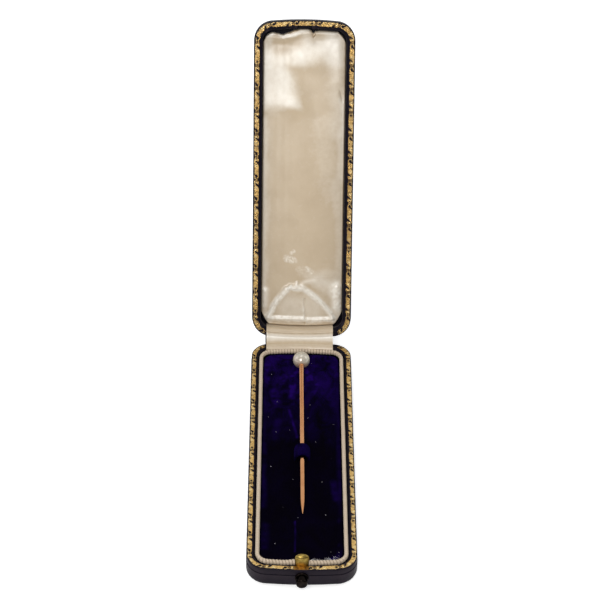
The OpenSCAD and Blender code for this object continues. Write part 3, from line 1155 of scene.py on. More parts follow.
@dataclass
class GiltBorder(SubAssembly):
    """Running roll of scrolls and cross bars, tooled in gold on both rims."""

    repeat: float = 6.85
    width: float = 1.2
    leaf: float = 0.026
    curve_steps: int = 4
    # Distance from the middle of the hinge wall at which the border starts and ends
    start: float = 11.1
    # Share of the repeats that have the hook
    hooked_share: float = 0.62
    base_run: Tooling = Tooling(
        Inset(0.95, 1.2, 1.2), backwards=False, seed=4, wear=0.0, dull=0.0, broad=0.97)
    lid_run: Tooling = Tooling(
        Inset(1.07, 1.0, 1.0), backwards=True, seed=9, wear=-0.02, dull=0.50, broad=1.08)
    # Plain stretch of the rim before the catch: its two ends, seen across the case
    plain: tuple[float, float] = (-2.25, 1.9)
    front_end: Outline = (
        (0.07, 0.17, True), (0.07, 1.04, True), (0.36, 0.98, False), (0.62, 1.16, False),
        (1.20, 1.20, False), (4.40, 1.20, False))
    hooked_end: Outline = (
        (4.92, 1.20, True), (5.14, 0.94, False), (5.36, 0.58, False), (5.72, 0.28, False),
        (6.12, 0.36, False), (6.28, 0.66, False), (6.10, 0.92, False), (5.80, 0.92, False),
        (5.58, 1.04, False), (5.48, 1.20, True))
    back_end: Outline = (
        (6.10, 1.19, False), (6.40, 1.02, False), (6.78, 1.05, True), (6.78, 0.16, True),
        (6.46, 0.22, False), (6.15, 0.03, False), (5.40, 0.00, False), (2.40, 0.00, True),
        (1.94, 0.42, False), (1.44, 0.80, False), (0.98, 0.98, True), (1.10, 0.66, False),
        (1.40, 0.30, False), (1.44, 0.02, True), (0.95, 0.00, False), (0.60, 0.03, False),
        (0.36, 0.24, False))
    bar: Outline = ((0.36, 0.26, True), (0.36, 0.92, True), (0.50, 0.92, True), (0.50, 0.26, True))
    far_bar: Outline = ((6.46, 0.40, True), (6.46, 0.90, True), (6.60, 0.90, True), (6.60, 0.40, True))
    eye: Outline = ((5.58, 0.58, False), (5.86, 0.90, False), (6.16, 0.62, False), (5.90, 0.30, False))

    def make(self) -> None:
        """Tools both rims."""
        hooked = self.unit((self.front_end + self.hooked_end + self.back_end, self.bar, self.far_bar))
        plain = self.unit((self.front_end + self.back_end, self.bar, self.far_bar, self.eye))
        base = self.tooled((hooked, plain), self.base_run, self.plain)
        shift(base, (0, 0, self.plan.base_h))
        self.fit(make_object("gilt_base", base), self.finishes.gilt, Slot.GILT, Body.CASE)
        lid = self.tooled((hooked, plain), self.lid_run, None)
        move(lid, self.hinge.swing())
        self.fit(make_object("gilt_lid", lid), self.finishes.gilt, Slot.GILT, Body.LID)
        for unit in (hooked, plain):
            bpy.data.meshes.remove(unit)
        self.make_plain()

    def make_plain(self) -> Object:
        """Makes the plain burnished gilding before the catch."""
        bm = bmesh.new()
        bmesh.ops.create_grid(bm, x_segments=24, y_segments=8, size=0.5)
        left, right = self.plain
        for vert in bm.verts:
            x, y = vert.co.x, vert.co.y
            edge = 0.05 * wander(9 * x, 5 * y, 2.0, 1.0)
            vert.co = (x * (right - left - 0.1) + edge, y * (self.width + 0.2) - 0.02,
                       0.012 * (1 - 4 * y * y))
        bmesh.ops.solidify(bm, geom=bm.faces[:], thickness=self.leaf)
        path = WallPath(self.plan, Inset(0.98, 1.2, 1.2))
        middle = (left + right) / 2
        for vert in bm.verts:
            vert.co.x = (vert.co.x + middle) % path.length
        path.wrap(bm)
        shift(bm, (0, 0, self.plan.base_h))
        face_out(bm)
        piece = make_object("gilt_before_catch", bm)
        return self.fit(piece, self.finishes.burnished, Slot.GILT, Body.CASE)

    def unit(self, outlines: Sequence[Outline]) -> Mesh:
        """Models one repeat of the roll, flat along X.

        Args:
            outlines: Its outline and the outlines of its holes.

        Returns:
            Its mesh: x along the travel, y from the middle to the inside, both also in its UV map.
        """
        curve = bpy.data.curves.new("gilt_unit", "CURVE")
        curve.dimensions = "2D"
        curve.fill_mode = "BOTH"
        curve.resolution_u = self.curve_steps
        curve.extrude = self.leaf / 2
        curve.bevel_depth = self.leaf / 2
        curve.bevel_resolution = 0
        for outline in outlines:
            spline = curve.splines.new("BEZIER")
            spline.bezier_points.add(len(outline) - 1)
            spline.use_cyclic_u = True
            for point, (x, inner, sharp) in zip(spline.bezier_points, outline):
                point.co = (x, self.width / 2 - inner, 0)
                point.handle_left_type = "VECTOR" if sharp else "AUTO"
                point.handle_right_type = point.handle_left_type
        holder = bpy.data.objects.new("gilt_unit", curve)
        bpy.context.scene.collection.objects.link(holder)
        bpy.context.view_layer.update()
        mesh = bpy.data.meshes.new_from_object(holder.evaluated_get(bpy.context.evaluated_depsgraph_get()))
        bpy.data.objects.remove(holder)
        bm = bmesh.new()
        bm.from_mesh(mesh)
        bmesh.ops.remove_doubles(bm, verts=bm.verts[:], dist=TOUCH)
        for i in range(12):
            bmesh.ops.bisect_plane(bm, geom=bm.verts[:] + bm.edges[:] + bm.faces[:],
                                   plane_co=(0.7 + 0.5 * i, 0, 0), plane_no=(1, 0, 0))
        face_out(bm)
        for old in list(bm.loops.layers.uv):
            bm.loops.layers.uv.remove(old)
        lay_map(bm, "roll", lambda vert: (vert.co.x, self.width / 2 - vert.co.y))
        bm.to_mesh(mesh)
        bm.free()
        return mesh

    def tooled(self, units: Sequence[Mesh], run: Tooling, gap: tuple[float, float] | None) -> BMesh:
        """Rolls the border along a rim, from the hinge round to the hinge.

        Args:
            units: The hooked and the plain repeat.
            run: How the roll ran.
            gap: Stretch in the middle of the front that it leaves out.

        Returns:
            The border at height 0.
        """
        path = WallPath(self.plan, run.inset, from_back=True)
        dice = random.Random(run.seed)
        bm = bmesh.new()
        worn = bm.verts.layers.float.new("wear")
        dulled = bm.verts.layers.float.new("dull")
        count = round((path.length - 2 * self.start) / self.repeat)
        pitch = (path.length - 2 * self.start) / count
        for i in range(count):
            before = len(bm.verts)
            bm.from_mesh(units[0] if dice.random() < self.hooked_share else units[1])
            bm.verts.ensure_lookup_table()
            lean = dice.uniform(-0.03, 0.03)
            lost = run.wear + dice.uniform(-0.05, 0.07)
            tone = run.dull + dice.uniform(0.0, 0.12)
            for vert in bm.verts[before:]:
                vert.co.y = vert.co.y * run.broad + lean * math.sin(math.pi * vert.co.x / self.repeat)
                way = self.start + pitch * i + vert.co.x * pitch / self.repeat
                vert.co.x = path.length - way if run.backwards else way
                vert[worn] = lost
                vert[dulled] = tone
        if gap:
            self.leave_out(bm, path.length / 2 + gap[0], path.length / 2 + gap[1])
        path.wrap(bm)
        face_out(bm)
        log.info("gilt border: %d repeats", count)
        return bm

    def leave_out(self, bm: BMesh, low: float, high: float) -> None:
        """Cuts a stretch out of the straight border and closes the cut ends.

        Args:
            bm: The border along X.
            low: Place where the stretch starts.
            high: Place where it ends.
        """
        for place in (low, high):
            cut = bmesh.ops.bisect_plane(bm, geom=bm.verts[:] + bm.edges[:] + bm.faces[:],
                                         plane_co=(place, 0, 0), plane_no=(1, 0, 0))["geom_cut"]
            bmesh.ops.split_edges(bm, edges=[g for g in cut if isinstance(g, BMEdge)])
        inside = [f for f in bm.faces if low < f.calc_center_median().x < high]
        bmesh.ops.delete(bm, geom=inside, context="FACES")
        ends = [e for e in bm.edges if e.is_boundary
                and any(all(abs(v.co.x - place) < TOUCH for v in e.verts) for place in (low, high))]
        bmesh.ops.holes_fill(bm, edges=ends, sides=0)


@dataclass(frozen=True)
class Stroke:
    """Line on the face of a lining, from place to place."""

    points: Line

    def away(self, x: float, y: float) -> float:
        """Distance of a place from the line.

        Args:
            x: Place across the case.
            y: Place along the case.

        Returns:
            The distance.
        """
        best = math.inf
        for (x0, y0), (x1, y1) in zip(self.points, self.points[1:]):
            run_x = x1 - x0
            run_y = y1 - y0
            share = ((x - x0) * run_x + (y - y0) * run_y) / (run_x * run_x + run_y * run_y)
            share = clamp(share)
            best = min(best, math.hypot(x - x0 - share * run_x, y - y0 - share * run_y))
        return best


@dataclass(frozen=True)
class Fold(Stroke):
    """Ridge (positive height) or crease (negative) along a line."""

    height: float
    width: float

    def relief(self, x: float, y: float) -> float:
        """Height that the fold adds at a place."""
        away = self.away(x, y) / self.width
        return self.height * math.exp(-(away**1.8)) if away < 3.5 else 0.0


@dataclass(frozen=True)
class PaintedHighlight(Stroke):
    """Stretch along a line that gets a painted highlight on the cloth."""

    amount: float
    reach: float
    soft: float

    def share(self, x: float, y: float) -> float:
        """How much of the painted highlight a place gets."""
        return self.amount * (1 - smooth((self.away(x, y) - self.reach) / self.soft))


def brightest(highlight_strokes: Sequence[PaintedHighlight], x: float, y: float) -> float:
    """The strongest of several painted highlights at a place."""
    return max(lay.share(x, y) for lay in highlight_strokes)


def blended(highlight_strokes: Sequence[PaintedHighlight], x: float, y: float) -> float:
    """Several painted highlights at a place, run softly into one another."""
    return 1 - math.prod(1 - lay.share(x, y) for lay in highlight_strokes)


@dataclass(frozen=True)
class Lumps:
    """Random unevenness: its strength, the width of its lumps, and which draw of them it takes."""

    amount: float
    size: float
    draw: float

    def at(self, x: float, y: float) -> float:
        """Its value at a place."""
        return self.amount * wander(x, y, self.draw, self.size)


@dataclass(frozen=True)
class PadShape:
    """Padded lining with rolled edges inside an outline."""

    inset: Inset
    top: float
    low: float
    roll: float
    columns: int
    rows: int
    crowding: float = 0.75
    # Share of the painted highlight that the rolled edge keeps
    edge_highlight: float = 0.25

    def build(self, plan: CasePlan, relief: Relief, tuck: Tuck, lay: Relief) -> BMesh:
        """Models the pad as a closed solid.

        Args:
            plan: Plan of the case.
            relief: Height over the pad's face at a place.
            tuck: How far the front (-1) or back (1) edge is pulled in at a place across.
            lay: How much painted highlight a place gets.

        Returns:
            The solid, face up.
        """
        bm = bmesh.new()
        layer = bm.verts.layers.float.new("lay")
        bmesh.ops.create_grid(bm, x_segments=self.columns, y_segments=self.rows, size=1)
        rim = [e for e in bm.edges if e.is_boundary]
        half = plan.half_w - self.inset.side
        for vert in bm.verts:
            x = half * self.crowded(vert.co.x)
            front = plan.end_y(x, self.inset, -1) + tuck(x, -1)
            back = plan.end_y(x, self.inset, 1) - tuck(x, 1)
            y = (front + back) / 2 + (back - front) / 2 * self.crowded(vert.co.y)
            depth = clamp(min(plan.depth(x, y, self.inset), y - front, back - y), 0, self.roll)
            drop = self.roll - math.sqrt(self.roll**2 - (self.roll - depth) ** 2)
            share = smooth(depth / self.roll)
            vert.co = (x, y, self.top - drop + relief(x, y) * share)
            flat = smooth(2 * depth / self.roll)
            vert[layer] = lay(x, y) * (self.edge_highlight + (1 - self.edge_highlight) * flat)
        foot = draw_out(bm, rim, (0, 0, 0))
        for edge in foot:
            for vert in edge.verts:
                vert.co.z = self.low
        bmesh.ops.contextual_create(bm, geom=foot)
        face_out(bm)
        return bm

    def crowded(self, share: float) -> float:
        """Moves a share from -1 to 1 closer to the ends."""
        return (1 - self.crowding) * share + self.crowding * math.sin(math.pi / 2 * share)


@dataclass
class VelvetBed(SubAssembly):
    """Velvet pad in the base."""

    shape: PadShape = PadShape(Inset(3.62, 4.12, 4.12), top=5.1, low=1.3, roll=0.5, columns=90, rows=280)
    corner_r: float = 6.9
    # How far the bed rises towards the walls, and over what distance
    rise: float = 0.34
    rise_from: float = 2.0
    swells: tuple[Lumps, ...] = (Lumps(0.10, 7.0, 0.0), Lumps(0.05, 1.9, 4.0))
    wall_swells: Lumps = Lumps(0.5, 3.0, 6.0)
    # Pile pressed down by the shank: middle, half width and fade across, ends along the case, height
    pressed: tuple[float, float, float] = (0.2, 0.9, 1.4)
    pressed_ends: tuple[float, float] = (-27.0, 42.0)
    pressed_h: float = 0.02
    ruck: Line = ((-3.6, 18.5), (-2.3, 12.0), (-1.3, 6.7))
    # Folds: line, height, width
    creases: tuple[Fold, ...] = (
        Fold(ruck, 0.18, 0.5),
        Fold(((-2.6, 14.0), (-0.6, 2.0)), -0.10, 0.5),
        Fold(((-1.85, -28.5), (-1.75, -33.0), (-1.9, -39.0)), 0.22, 0.4),
        Fold(((-1.0, -31.0), (-0.9, -38.0)), -0.12, 0.5),
        Fold(((6.5, 36.0), (9.5, 28.0)), 0.10, 1.3), Fold(((-9.0, 36.0), (-6.0, 26.0)), 0.12, 1.6),
        Fold(((-8.5, -6.0), (-9.6, -22.0)), 0.10, 1.4), Fold(((7.5, -14.0), (9.0, -30.0)), 0.10, 1.6),
        Fold(((0.2, 33.0), (0.4, 12.0)), -0.07, 1.1), Fold(((0.2, 8.0), (0.1, -24.0)), -0.07, 1.1))
    # Painted sheen along creases and walls: line, amount, reach, softness of its edge
    painted_sheen: tuple[PaintedHighlight, ...] = (
        PaintedHighlight(ruck, 0.8, 0.12, 0.55),
        PaintedHighlight(((-1.85, -28.0), (-1.75, -33.0), (-1.9, -39.6)), 0.62, 0.02, 0.42),
        PaintedHighlight(((-10.7, 40.0), (-11.0, 0.0), (-10.7, -22.0)), 0.27, 0.0, 1.7),
        PaintedHighlight(((10.7, 40.0), (11.0, 0.0), (10.7, -28.0)), 0.25, 0.0, 1.6),
        PaintedHighlight(((-10.2, -30.0), (-10.3, -38.0)), 0.20, 0.0, 2.4),
        PaintedHighlight(((8.2, -42.4), (10.2, -41.0), (10.6, -37.0)), 0.40, 0.1, 1.2),
        PaintedHighlight(((-8.9, 42.0), (-10.6, 38.0), (-10.3, 31.0)), 0.65, 0.5, 1.3),
        PaintedHighlight(((-6.5, 42.5), (7.2, 42.8)), 0.50, 0.4, 1.0), PaintedHighlight(((8.5, 41.0), (10.4, 37.5)), 0.45, 0.5, 1.4),
        PaintedHighlight(((-1.4, 38.0), (-2.8, 34.6)), 0.85, 0.5, 1.5), PaintedHighlight(((1.8, 36.6), (2.6, 32.2)), 1.15, 0.5, 1.3),
        PaintedHighlight(((-2.5, 30.0), (-2.8, 24.2)), 0.95, 0.4, 1.2),
        PaintedHighlight(((-4.9, 33.6), (-6.4, 31.0)), 0.80, 0.5, 1.6),
        PaintedHighlight(((5.6, 31.4), (3.2, 26.4)), 0.85, 0.4, 1.4), PaintedHighlight(((-8.2, 27.0), (-7.2, 22.0)), 0.50, 0.5, 1.8),
        PaintedHighlight(((7.6, 30.0), (8.8, 24.0)), 0.45, 0.4, 1.7), PaintedHighlight(((1.9, 15.8), (2.5, 20.6)), 0.28, 0.4, 1.4),
        PaintedHighlight(((-6.6, 14.0), (-7.8, 6.5)), 0.26, 0.4, 1.8), PaintedHighlight(((9.0, -12.0), (9.7, -19.0)), 0.28, 0.3, 1.4))
    # How strong and how uneven the painted sheen is, also in small patches near the hinge
    sheen_amount: float = 0.66
    patches: tuple[Lumps, ...] = (Lumps(0.6, 1.7, 8.0), Lumps(0.7, 4.5, 3.0))
    back_patches: Lumps = Lumps(0.7, 1.1, 12.0)
    back_from: float = 20.0

    def relief(self, x: float, y: float) -> float:
        """Height of the pile over the pad's face.

        Args:
            x: Place across the case.
            y: Place along the case.

        Returns:
            The height.
        """
        height = sum(fold.relief(x, y) for fold in self.creases) + sum(s.at(x, y) for s in self.swells)
        edge = 1 - self.soft_plan().depth(x, y, self.shape.inset) / self.rise_from
        height += self.rise * smooth(edge) * (1 + self.wall_swells.at(x, y))
        middle, half, fade = self.pressed
        front, back = self.pressed_ends
        keep = smooth((abs(x - middle) - half) / fade) if front < y < back else 1.0
        return min(height, self.pressed_h) * (1 - keep) + height * keep

    def soft_plan(self) -> CasePlan:
        """Plan of the bed, its corners rounder than the case's."""
        return replace(self.plan, corner_r=self.corner_r)

    def lay(self, x: float, y: float) -> float:
        """How much painted sheen a place gets.

        Args:
            x: Place across the case.
            y: Place along the case.

        Returns:
            The share of painted sheen.
        """
        broken = self.sheen_amount + sum(patch.at(x, y) for patch in self.patches)
        if y > self.back_from:
            broken += self.back_patches.at(x, y)
        return brightest(self.painted_sheen, x, y) * max(broken, 0.05)

    def make(self) -> Object:
        """Makes the bed."""
        bm = self.shape.build(self.soft_plan(), self.relief, lambda x, side: 0.0, self.lay)
        piece = make_object("velvet_bed", bm, SOFT_ANGLE)
        self.fit(piece, self.finishes.velvet, Slot.VELVET, Body.CASE, ["velvet_pad"])
        return piece


@dataclass
class SilkPiping(SubAssembly):
    """Ribbed silk cord round the velvet, broken at the catch."""

    inset: Inset = Inset(3.02, 3.5, 3.5)
    corner_r: float = 6.5
    radius: float = 0.72
    slim: float = 0.20
    z: float = 5.9
    pitch: float = 0.88
    rib: float = 0.26
    gap: float = 1.88
    sides: int = 14
    rings_per_rib: int = 7
    # Share of the ribs' depth on the long sides, and slant of the ribs at the ends
    side_rib: float = 0.26
    slant: float = 0.35
    # How much thicker both ends are, and how far the last one lifts
    end_swell: float = 0.13
    end_lift: float = 0.32

    def make(self) -> Object:
        """Makes the cord straight, ribs it and bends it round the velvet."""
        path = WallPath(replace(self.plan, corner_r=self.corner_r), self.inset)
        length = path.length - 2 * self.gap
        rings = round(length / self.pitch * self.rings_per_rib)
        bm = bmesh.new()
        bmesh.ops.create_cone(bm, cap_ends=True, segments=self.sides, radius1=1, radius2=1, depth=1)
        turn = Matrix.Rotation(math.pi / 2, 3, "Y")
        bmesh.ops.rotate(bm, cent=(0, 0, 0), matrix=turn, verts=bm.verts[:])
        shift(bm, (0.5, 0, 0))
        runs = [e for e in bm.edges if abs(e.verts[0].co.x - e.verts[1].co.x) > 0.5]
        bmesh.ops.subdivide_edges(bm, edges=runs, cuts=rings - 1)
        layer = bm.verts.layers.float.new("painted_rib_shade")
        lay_map(bm, "thread",
                lambda vert: (vert.co.x * length, math.atan2(vert.co.z, vert.co.y) * self.radius))
        for vert in bm.verts:
            self.shape_rib(vert, layer, self.gap + vert.co.x * length, path)
        path.wrap(bm)
        shift(bm, (0, 0, self.z))
        face_out(bm)
        piece = make_object("piping", bm, SOFT_ANGLE)
        return self.fit(piece, self.finishes.silk_cord, Slot.SILK_CORD, Body.CASE, ["silk_piping"])

    def shape_rib(self, vert: BMVert, layer: BMLayerItem, way: float, path: WallPath) -> None:
        """Gives one vertex of the straight cord its place on a rib.

        Args:
            vert: Vertex on a unit tube along X.
            layer: Layer that stores the painted shade between two ribs, from how deep it lies there.
            way: Its distance along the cord.
            path: Line that the cord will follow.
        """
        _, inward = path.at(way)
        slant = self.slant * max(inward.y, 0) ** 2
        phase = (way + slant * vert.co.y * self.radius + 0.07 * wander(way, 0, 0, 3.0)) / self.pitch
        hollow = 1 - abs(math.cos(math.pi * phase))
        rib = self.rib * (self.side_rib + (1 - self.side_rib) * inward.y**2)
        left = path.length - self.gap - way
        swell = 1.0 + self.end_swell * math.exp(-((min(way - self.gap, left) / 1.5) ** 2))
        lift = self.end_lift * math.exp(-((left / 1.6) ** 2))
        vert[layer] = hollow**2 * (0.35 + 0.65 * inward.y**2)
        across = 1 - self.slim * inward.x**2
        lump = 0.02 * wander(way, vert.co.y, vert.co.z, 2.0)
        radius = self.radius * (1 - rib * hollow**2) * swell + lump
        vert.co = (way, vert.co.y * radius * across, vert.co.z * radius + lift)


@dataclass
class SilkFluff(SubAssembly):
    """Specks of lint on the velvet and frayed ends of silk along the cord."""

    bed: VelvetBed | None = None
    # Specks: place, size
    specks: tuple[Spot, ...] = (
        (-7.3, -36.7, 0.17), (10.1, -39.9, 0.13), (-8.7, -6.1, 0.15), (-2.4, -11.3, 0.11),
        (5.8, -12.1, 0.10), (-1.0, -26.6, 0.12), (6.7, -25.3, 0.12), (-3.4, 9.7, 0.10),
        (1.9, 15.0, 0.13), (2.6, 20.8, 0.11), (-7.2, 22.0, 0.12), (-7.4, 8.8, 0.11),
        (3.2, 39.8, 0.11), (-8.9, 34.4, 0.11), (7.9, -39.6, 0.10),
        (-5.2, -22.4, 0.08), (4.1, 4.6, 0.09), (9.4, 12.3, 0.09), (-9.7, 15.2, 0.10), (8.6, -2.2, 0.08))
    # Frayed stretch: from left to right, from the cord inwards
    frayed: tuple[float, float, float, float] = (2.6, 10.6, -42.9, -41.0)
    threads: int = 46

    def make(self) -> Object:
        """Makes the specks and the frayed ends as one piece."""
        dice = random.Random(21)
        bm = bmesh.new()
        for x, y, size in self.specks:
            for _ in range(3):
                self.fibre(bm, dice, (x + dice.uniform(-0.05, 0.05), y), size * 0.22, size * 1.7, 0.3)
        left, right, near, far = self.frayed
        for _ in range(self.threads):
            x = dice.uniform(left, right)
            y = near + (far - near) * dice.random() ** 2 * (x - left) / (right - left)
            self.fibre(bm, dice, (x, y), dice.uniform(0.022, 0.04), dice.uniform(0.4, 1.0), 0.9)
        face_out(bm)
        piece = make_object("silk_fluff", bm, SOFT_ANGLE)
        return self.fit(piece, self.finishes.lint, Slot.SILK_CORD, Body.CASE)

    def fibre(self, bm: BMesh, dice: random.Random, place: tuple[float, float], radius: float,
              length: float, lift: float) -> None:
        """Adds one bent fibre that lies on the velvet.

        Args:
            bm: Mesh that takes it.
            dice: Source of its bend and direction.
            place: Where it lies.
            radius: Its radius.
            length: Its length.
            lift: How steeply it may stand, as a share of a right angle.
        """
        fibre = bmesh.new()
        bmesh.ops.create_cone(fibre, cap_ends=True, segments=5, radius1=radius, radius2=radius * 0.5,
                              depth=length)
        sides = [e for e in fibre.edges if abs(e.verts[0].co.z - e.verts[1].co.z) > length / 2]
        bmesh.ops.subdivide_edges(fibre, edges=sides, cuts=3)
        bend = dice.uniform(-0.5, 0.5)
        for vert in fibre.verts:
            vert.co.x += bend * length * (vert.co.z / length) ** 2
        tilt = math.pi / 2 * (1 - lift * dice.random())
        turn = Matrix.Rotation(dice.uniform(0, 2 * math.pi), 4, "Z") @ Matrix.Rotation(tilt, 4, "Y")
        x, y = place
        z = self.bed.shape.top + self.bed.relief(x, y) + radius + 0.5 * length * abs(math.cos(tilt))
        move(fibre, Matrix.Translation((x, y, z)) @ turn)
        mesh = bpy.data.meshes.new("fibre")
        fibre.to_mesh(mesh)
        fibre.free()
        bm.from_mesh(mesh)
        bpy.data.meshes.remove(mesh)


@dataclass
class StickPin(SubAssembly):
    """The pin: pearl head on a tapered rose-gold shank, lying on the velvet."""

    pearl_r: float = 2.55
    shank_r: float = 0.7
    length: float = 66.3
    point: float = 6.6
    head_y: float = 38.3
    head_z: float = 7.7
    yaw: float = 0.24
    # Point: share of its length, share of the shank's radius
    taper: Line = (
        (0.0, 1.0), (0.15, 0.97), (0.3, 0.9), (0.45, 0.79), (0.6, 0.64), (0.73, 0.48), (0.85, 0.3),
        (0.94, 0.16), (1.0, 0.05))

    @property
    def shank_l(self) -> float:
        """Distance from the middle of the pearl to the point."""
        return self.length - self.pearl_r

    def lay(self) -> Matrix:
        """Matrix that lays the pin, drawn along +Z, on the velvet."""
        tilt = math.asin((self.pearl_r - self.shank_r) / (self.shank_l - self.point))
        turn = Matrix.Rotation(math.radians(self.yaw), 4, "Z") @ Matrix.Rotation(math.pi / 2 + tilt, 4, "X")
        return Matrix.Translation((0, self.head_y, self.head_z)) @ turn

    def make(self) -> None:
        """Makes the shank and the pearl."""
        self.make_shank()
        self.make_pearl()

    def make_shank(self) -> Object:
        """Makes the shank, from the pearl to its point."""
        seat = math.sqrt(self.pearl_r**2 - self.shank_r**2)
        profile = [(0, seat - 0.2), (self.shank_r, seat - 0.1)]
        profile += [(self.shank_r, 4.0 + 6.0 * i) for i in range(9)]
        profile += [(self.shank_r * r, self.shank_l - self.point * (1 - s)) for s, r in self.taper]
        profile += [(0, self.shank_l)]
        bm = spun(profile, 40)
        for vert in bm.verts:
            vert.co.x += 0.02 * wander(0, vert.co.z, 0, 14.0)
        move(bm, self.lay())
        return self.fit(make_object("shank", bm), self.finishes.rose_gold, Slot.ROSE_GOLD, Body.CASE,
                        ["pin_shank"])

    def make_pearl(self) -> Object:
        """Makes the pearl, a shade off round as a natural one is."""
        bm = bmesh.new()
        bmesh.ops.create_icosphere(bm, subdivisions=6, radius=self.pearl_r - 0.02)
        for vert in bm.verts:
            out = vert.co.normalized()
            vert.co += out * (0.018 * wander(*(out * 2.0), 1.0) - 0.02 * out.z * out.z)
        move(bm, self.lay())
        piece = make_object("pearl_head", bm)
        return self.fit(piece, self.finishes.nacre, Slot.PEARL, Body.CASE, ["pearl"])


@dataclass
class LoopOfVelvet(SubAssembly):
    """Soft doubled strap of velvet that holds the shank down."""

    width: float = 4.75
    length: float = 4.9
    height: float = 2.85
    thick: float = 0.6
    middle: Spot = (0.165, -1.1, 5.15)
    steps: int = 18
    rows: int = 12

    def make(self) -> Object:
        """Makes the strap as an arch and softens it."""
        bm = bmesh.new()
        arch = [math.pi * i / self.steps for i in range(self.steps + 1)]
        half = self.width / 2
        verts = [bm.verts.new((half * math.cos(a), -self.length / 2, self.height * math.sin(a) ** 0.9))
                 for a in arch]
        edges = [bm.edges.new(pair) for pair in zip(verts, verts[1:])]
        for _ in range(self.rows):
            edges = draw_out(bm, edges, (0, self.length / self.rows, 0))
        face_out(bm)
        if sum(f.normal.dot(f.calc_center_median()) for f in bm.faces) < 0:
            bmesh.ops.reverse_faces(bm, faces=bm.faces[:])
        bmesh.ops.solidify(bm, geom=bm.faces[:], thickness=self.thick)
        self.soften(bm)
        shift(bm, self.middle)
        piece = make_object("loop_velvet", bm, SOFT_ANGLE)
        refine(piece, 1)
        return self.fit(piece, self.finishes.loop_velvet, Slot.VELVET, Body.CASE, ["velvet_loop"])

    def soften(self, bm: BMesh) -> None:
        """Rounds the strap's long edges and gives it its slack creases."""
        for vert in bm.verts:
            x, y, z = vert.co
            edge = abs(y) / (self.length / 2)
            pinch = 1 - 0.05 * edge**4
            crease = 0.10 * math.exp(-(((y - 0.35 * x - 0.4) / 0.5) ** 2)) * smooth(z / self.height)
            lump = 0.07 * wander(x, y, z, 1.3)
            vert.co = (x * pinch * (1 + lump * 0.3), y, z * pinch - crease * 0.6 + lump * 0.5 * (z > 0.4))


@dataclass(frozen=True)
class Section:
    """Level section of the catch: height, half width, half depth, middle and squareness."""

    z: float
    half_w: float
    half_d: float
    y: float
    square: float

    def point(self, turn: float) -> Vector:
        """Place on the section's outline in a direction.

        Args:
            turn: The direction, as an angle from X.

        Returns:
            The place.
        """
        across = math.cos(turn)
        along = math.sin(turn)
        power = 2 / self.square
        return Vector((math.copysign(self.half_w * abs(across) ** power, across),
                       self.y + math.copysign(self.half_d * abs(along) ** power, along), self.z))


@dataclass
class BrassCatch(SubAssembly):
    """Sprung brass leaf with a round barrel-shaped head, and the strike plate that it enters."""

    sections: tuple[Section, ...] = (
        Section(2.70, 1.60, 0.20, -45.97, 5.0), Section(5.80, 1.60, 0.21, -45.97, 5.0),
        Section(6.30, 1.76, 0.46, -45.74, 3.2), Section(6.80, 1.84, 0.68, -45.50, 2.7),
        Section(7.30, 1.91, 0.80, -45.35, 2.5), Section(7.80, 1.96, 0.85, -45.26, 2.3),
        Section(8.25, 1.98, 0.86, -45.20, 2.1), Section(8.70, 1.90, 0.83, -45.15, 2.0),
        Section(9.06, 1.66, 0.73, -45.10, 2.0), Section(9.30, 1.30, 0.58, -45.05, 2.0),
        Section(9.44, 0.88, 0.39, -45.02, 2.0), Section(9.49, 0.44, 0.19, -45.01, 2.0))
    sides: int = 48

    def make(self) -> Object:
        """Makes the catch by drawing a ring up through all the sections."""
        bm = bmesh.new()
        bmesh.ops.create_circle(bm, cap_ends=True, radius=1, segments=self.sides)
        edges = bm.edges[:]
        for _ in self.sections[1:]:
            edges = draw_out(bm, edges, (0, 0, 1))
        bmesh.ops.contextual_create(bm, geom=edges)
        for vert in bm.verts:
            vert.co = self.sections[round(vert.co.z)].point(math.atan2(vert.co.y, vert.co.x))
        face_out(bm)
        piece = make_object("catch_leaf", bm, math.radians(60))
        refine(piece, 1)
        return self.fit(piece, self.finishes.brass, Slot.BRASS, Body.CASE, ["catch"])

    def dress_strike(self) -> None:
        """Gives the lid's strike plate its brass."""
        plate = frame["nodes"]["strike_plate"]
        plate.data.materials.clear()
        plate.data.materials.append(self.finishes.brass)
        log.info("strike_plate: dressed")


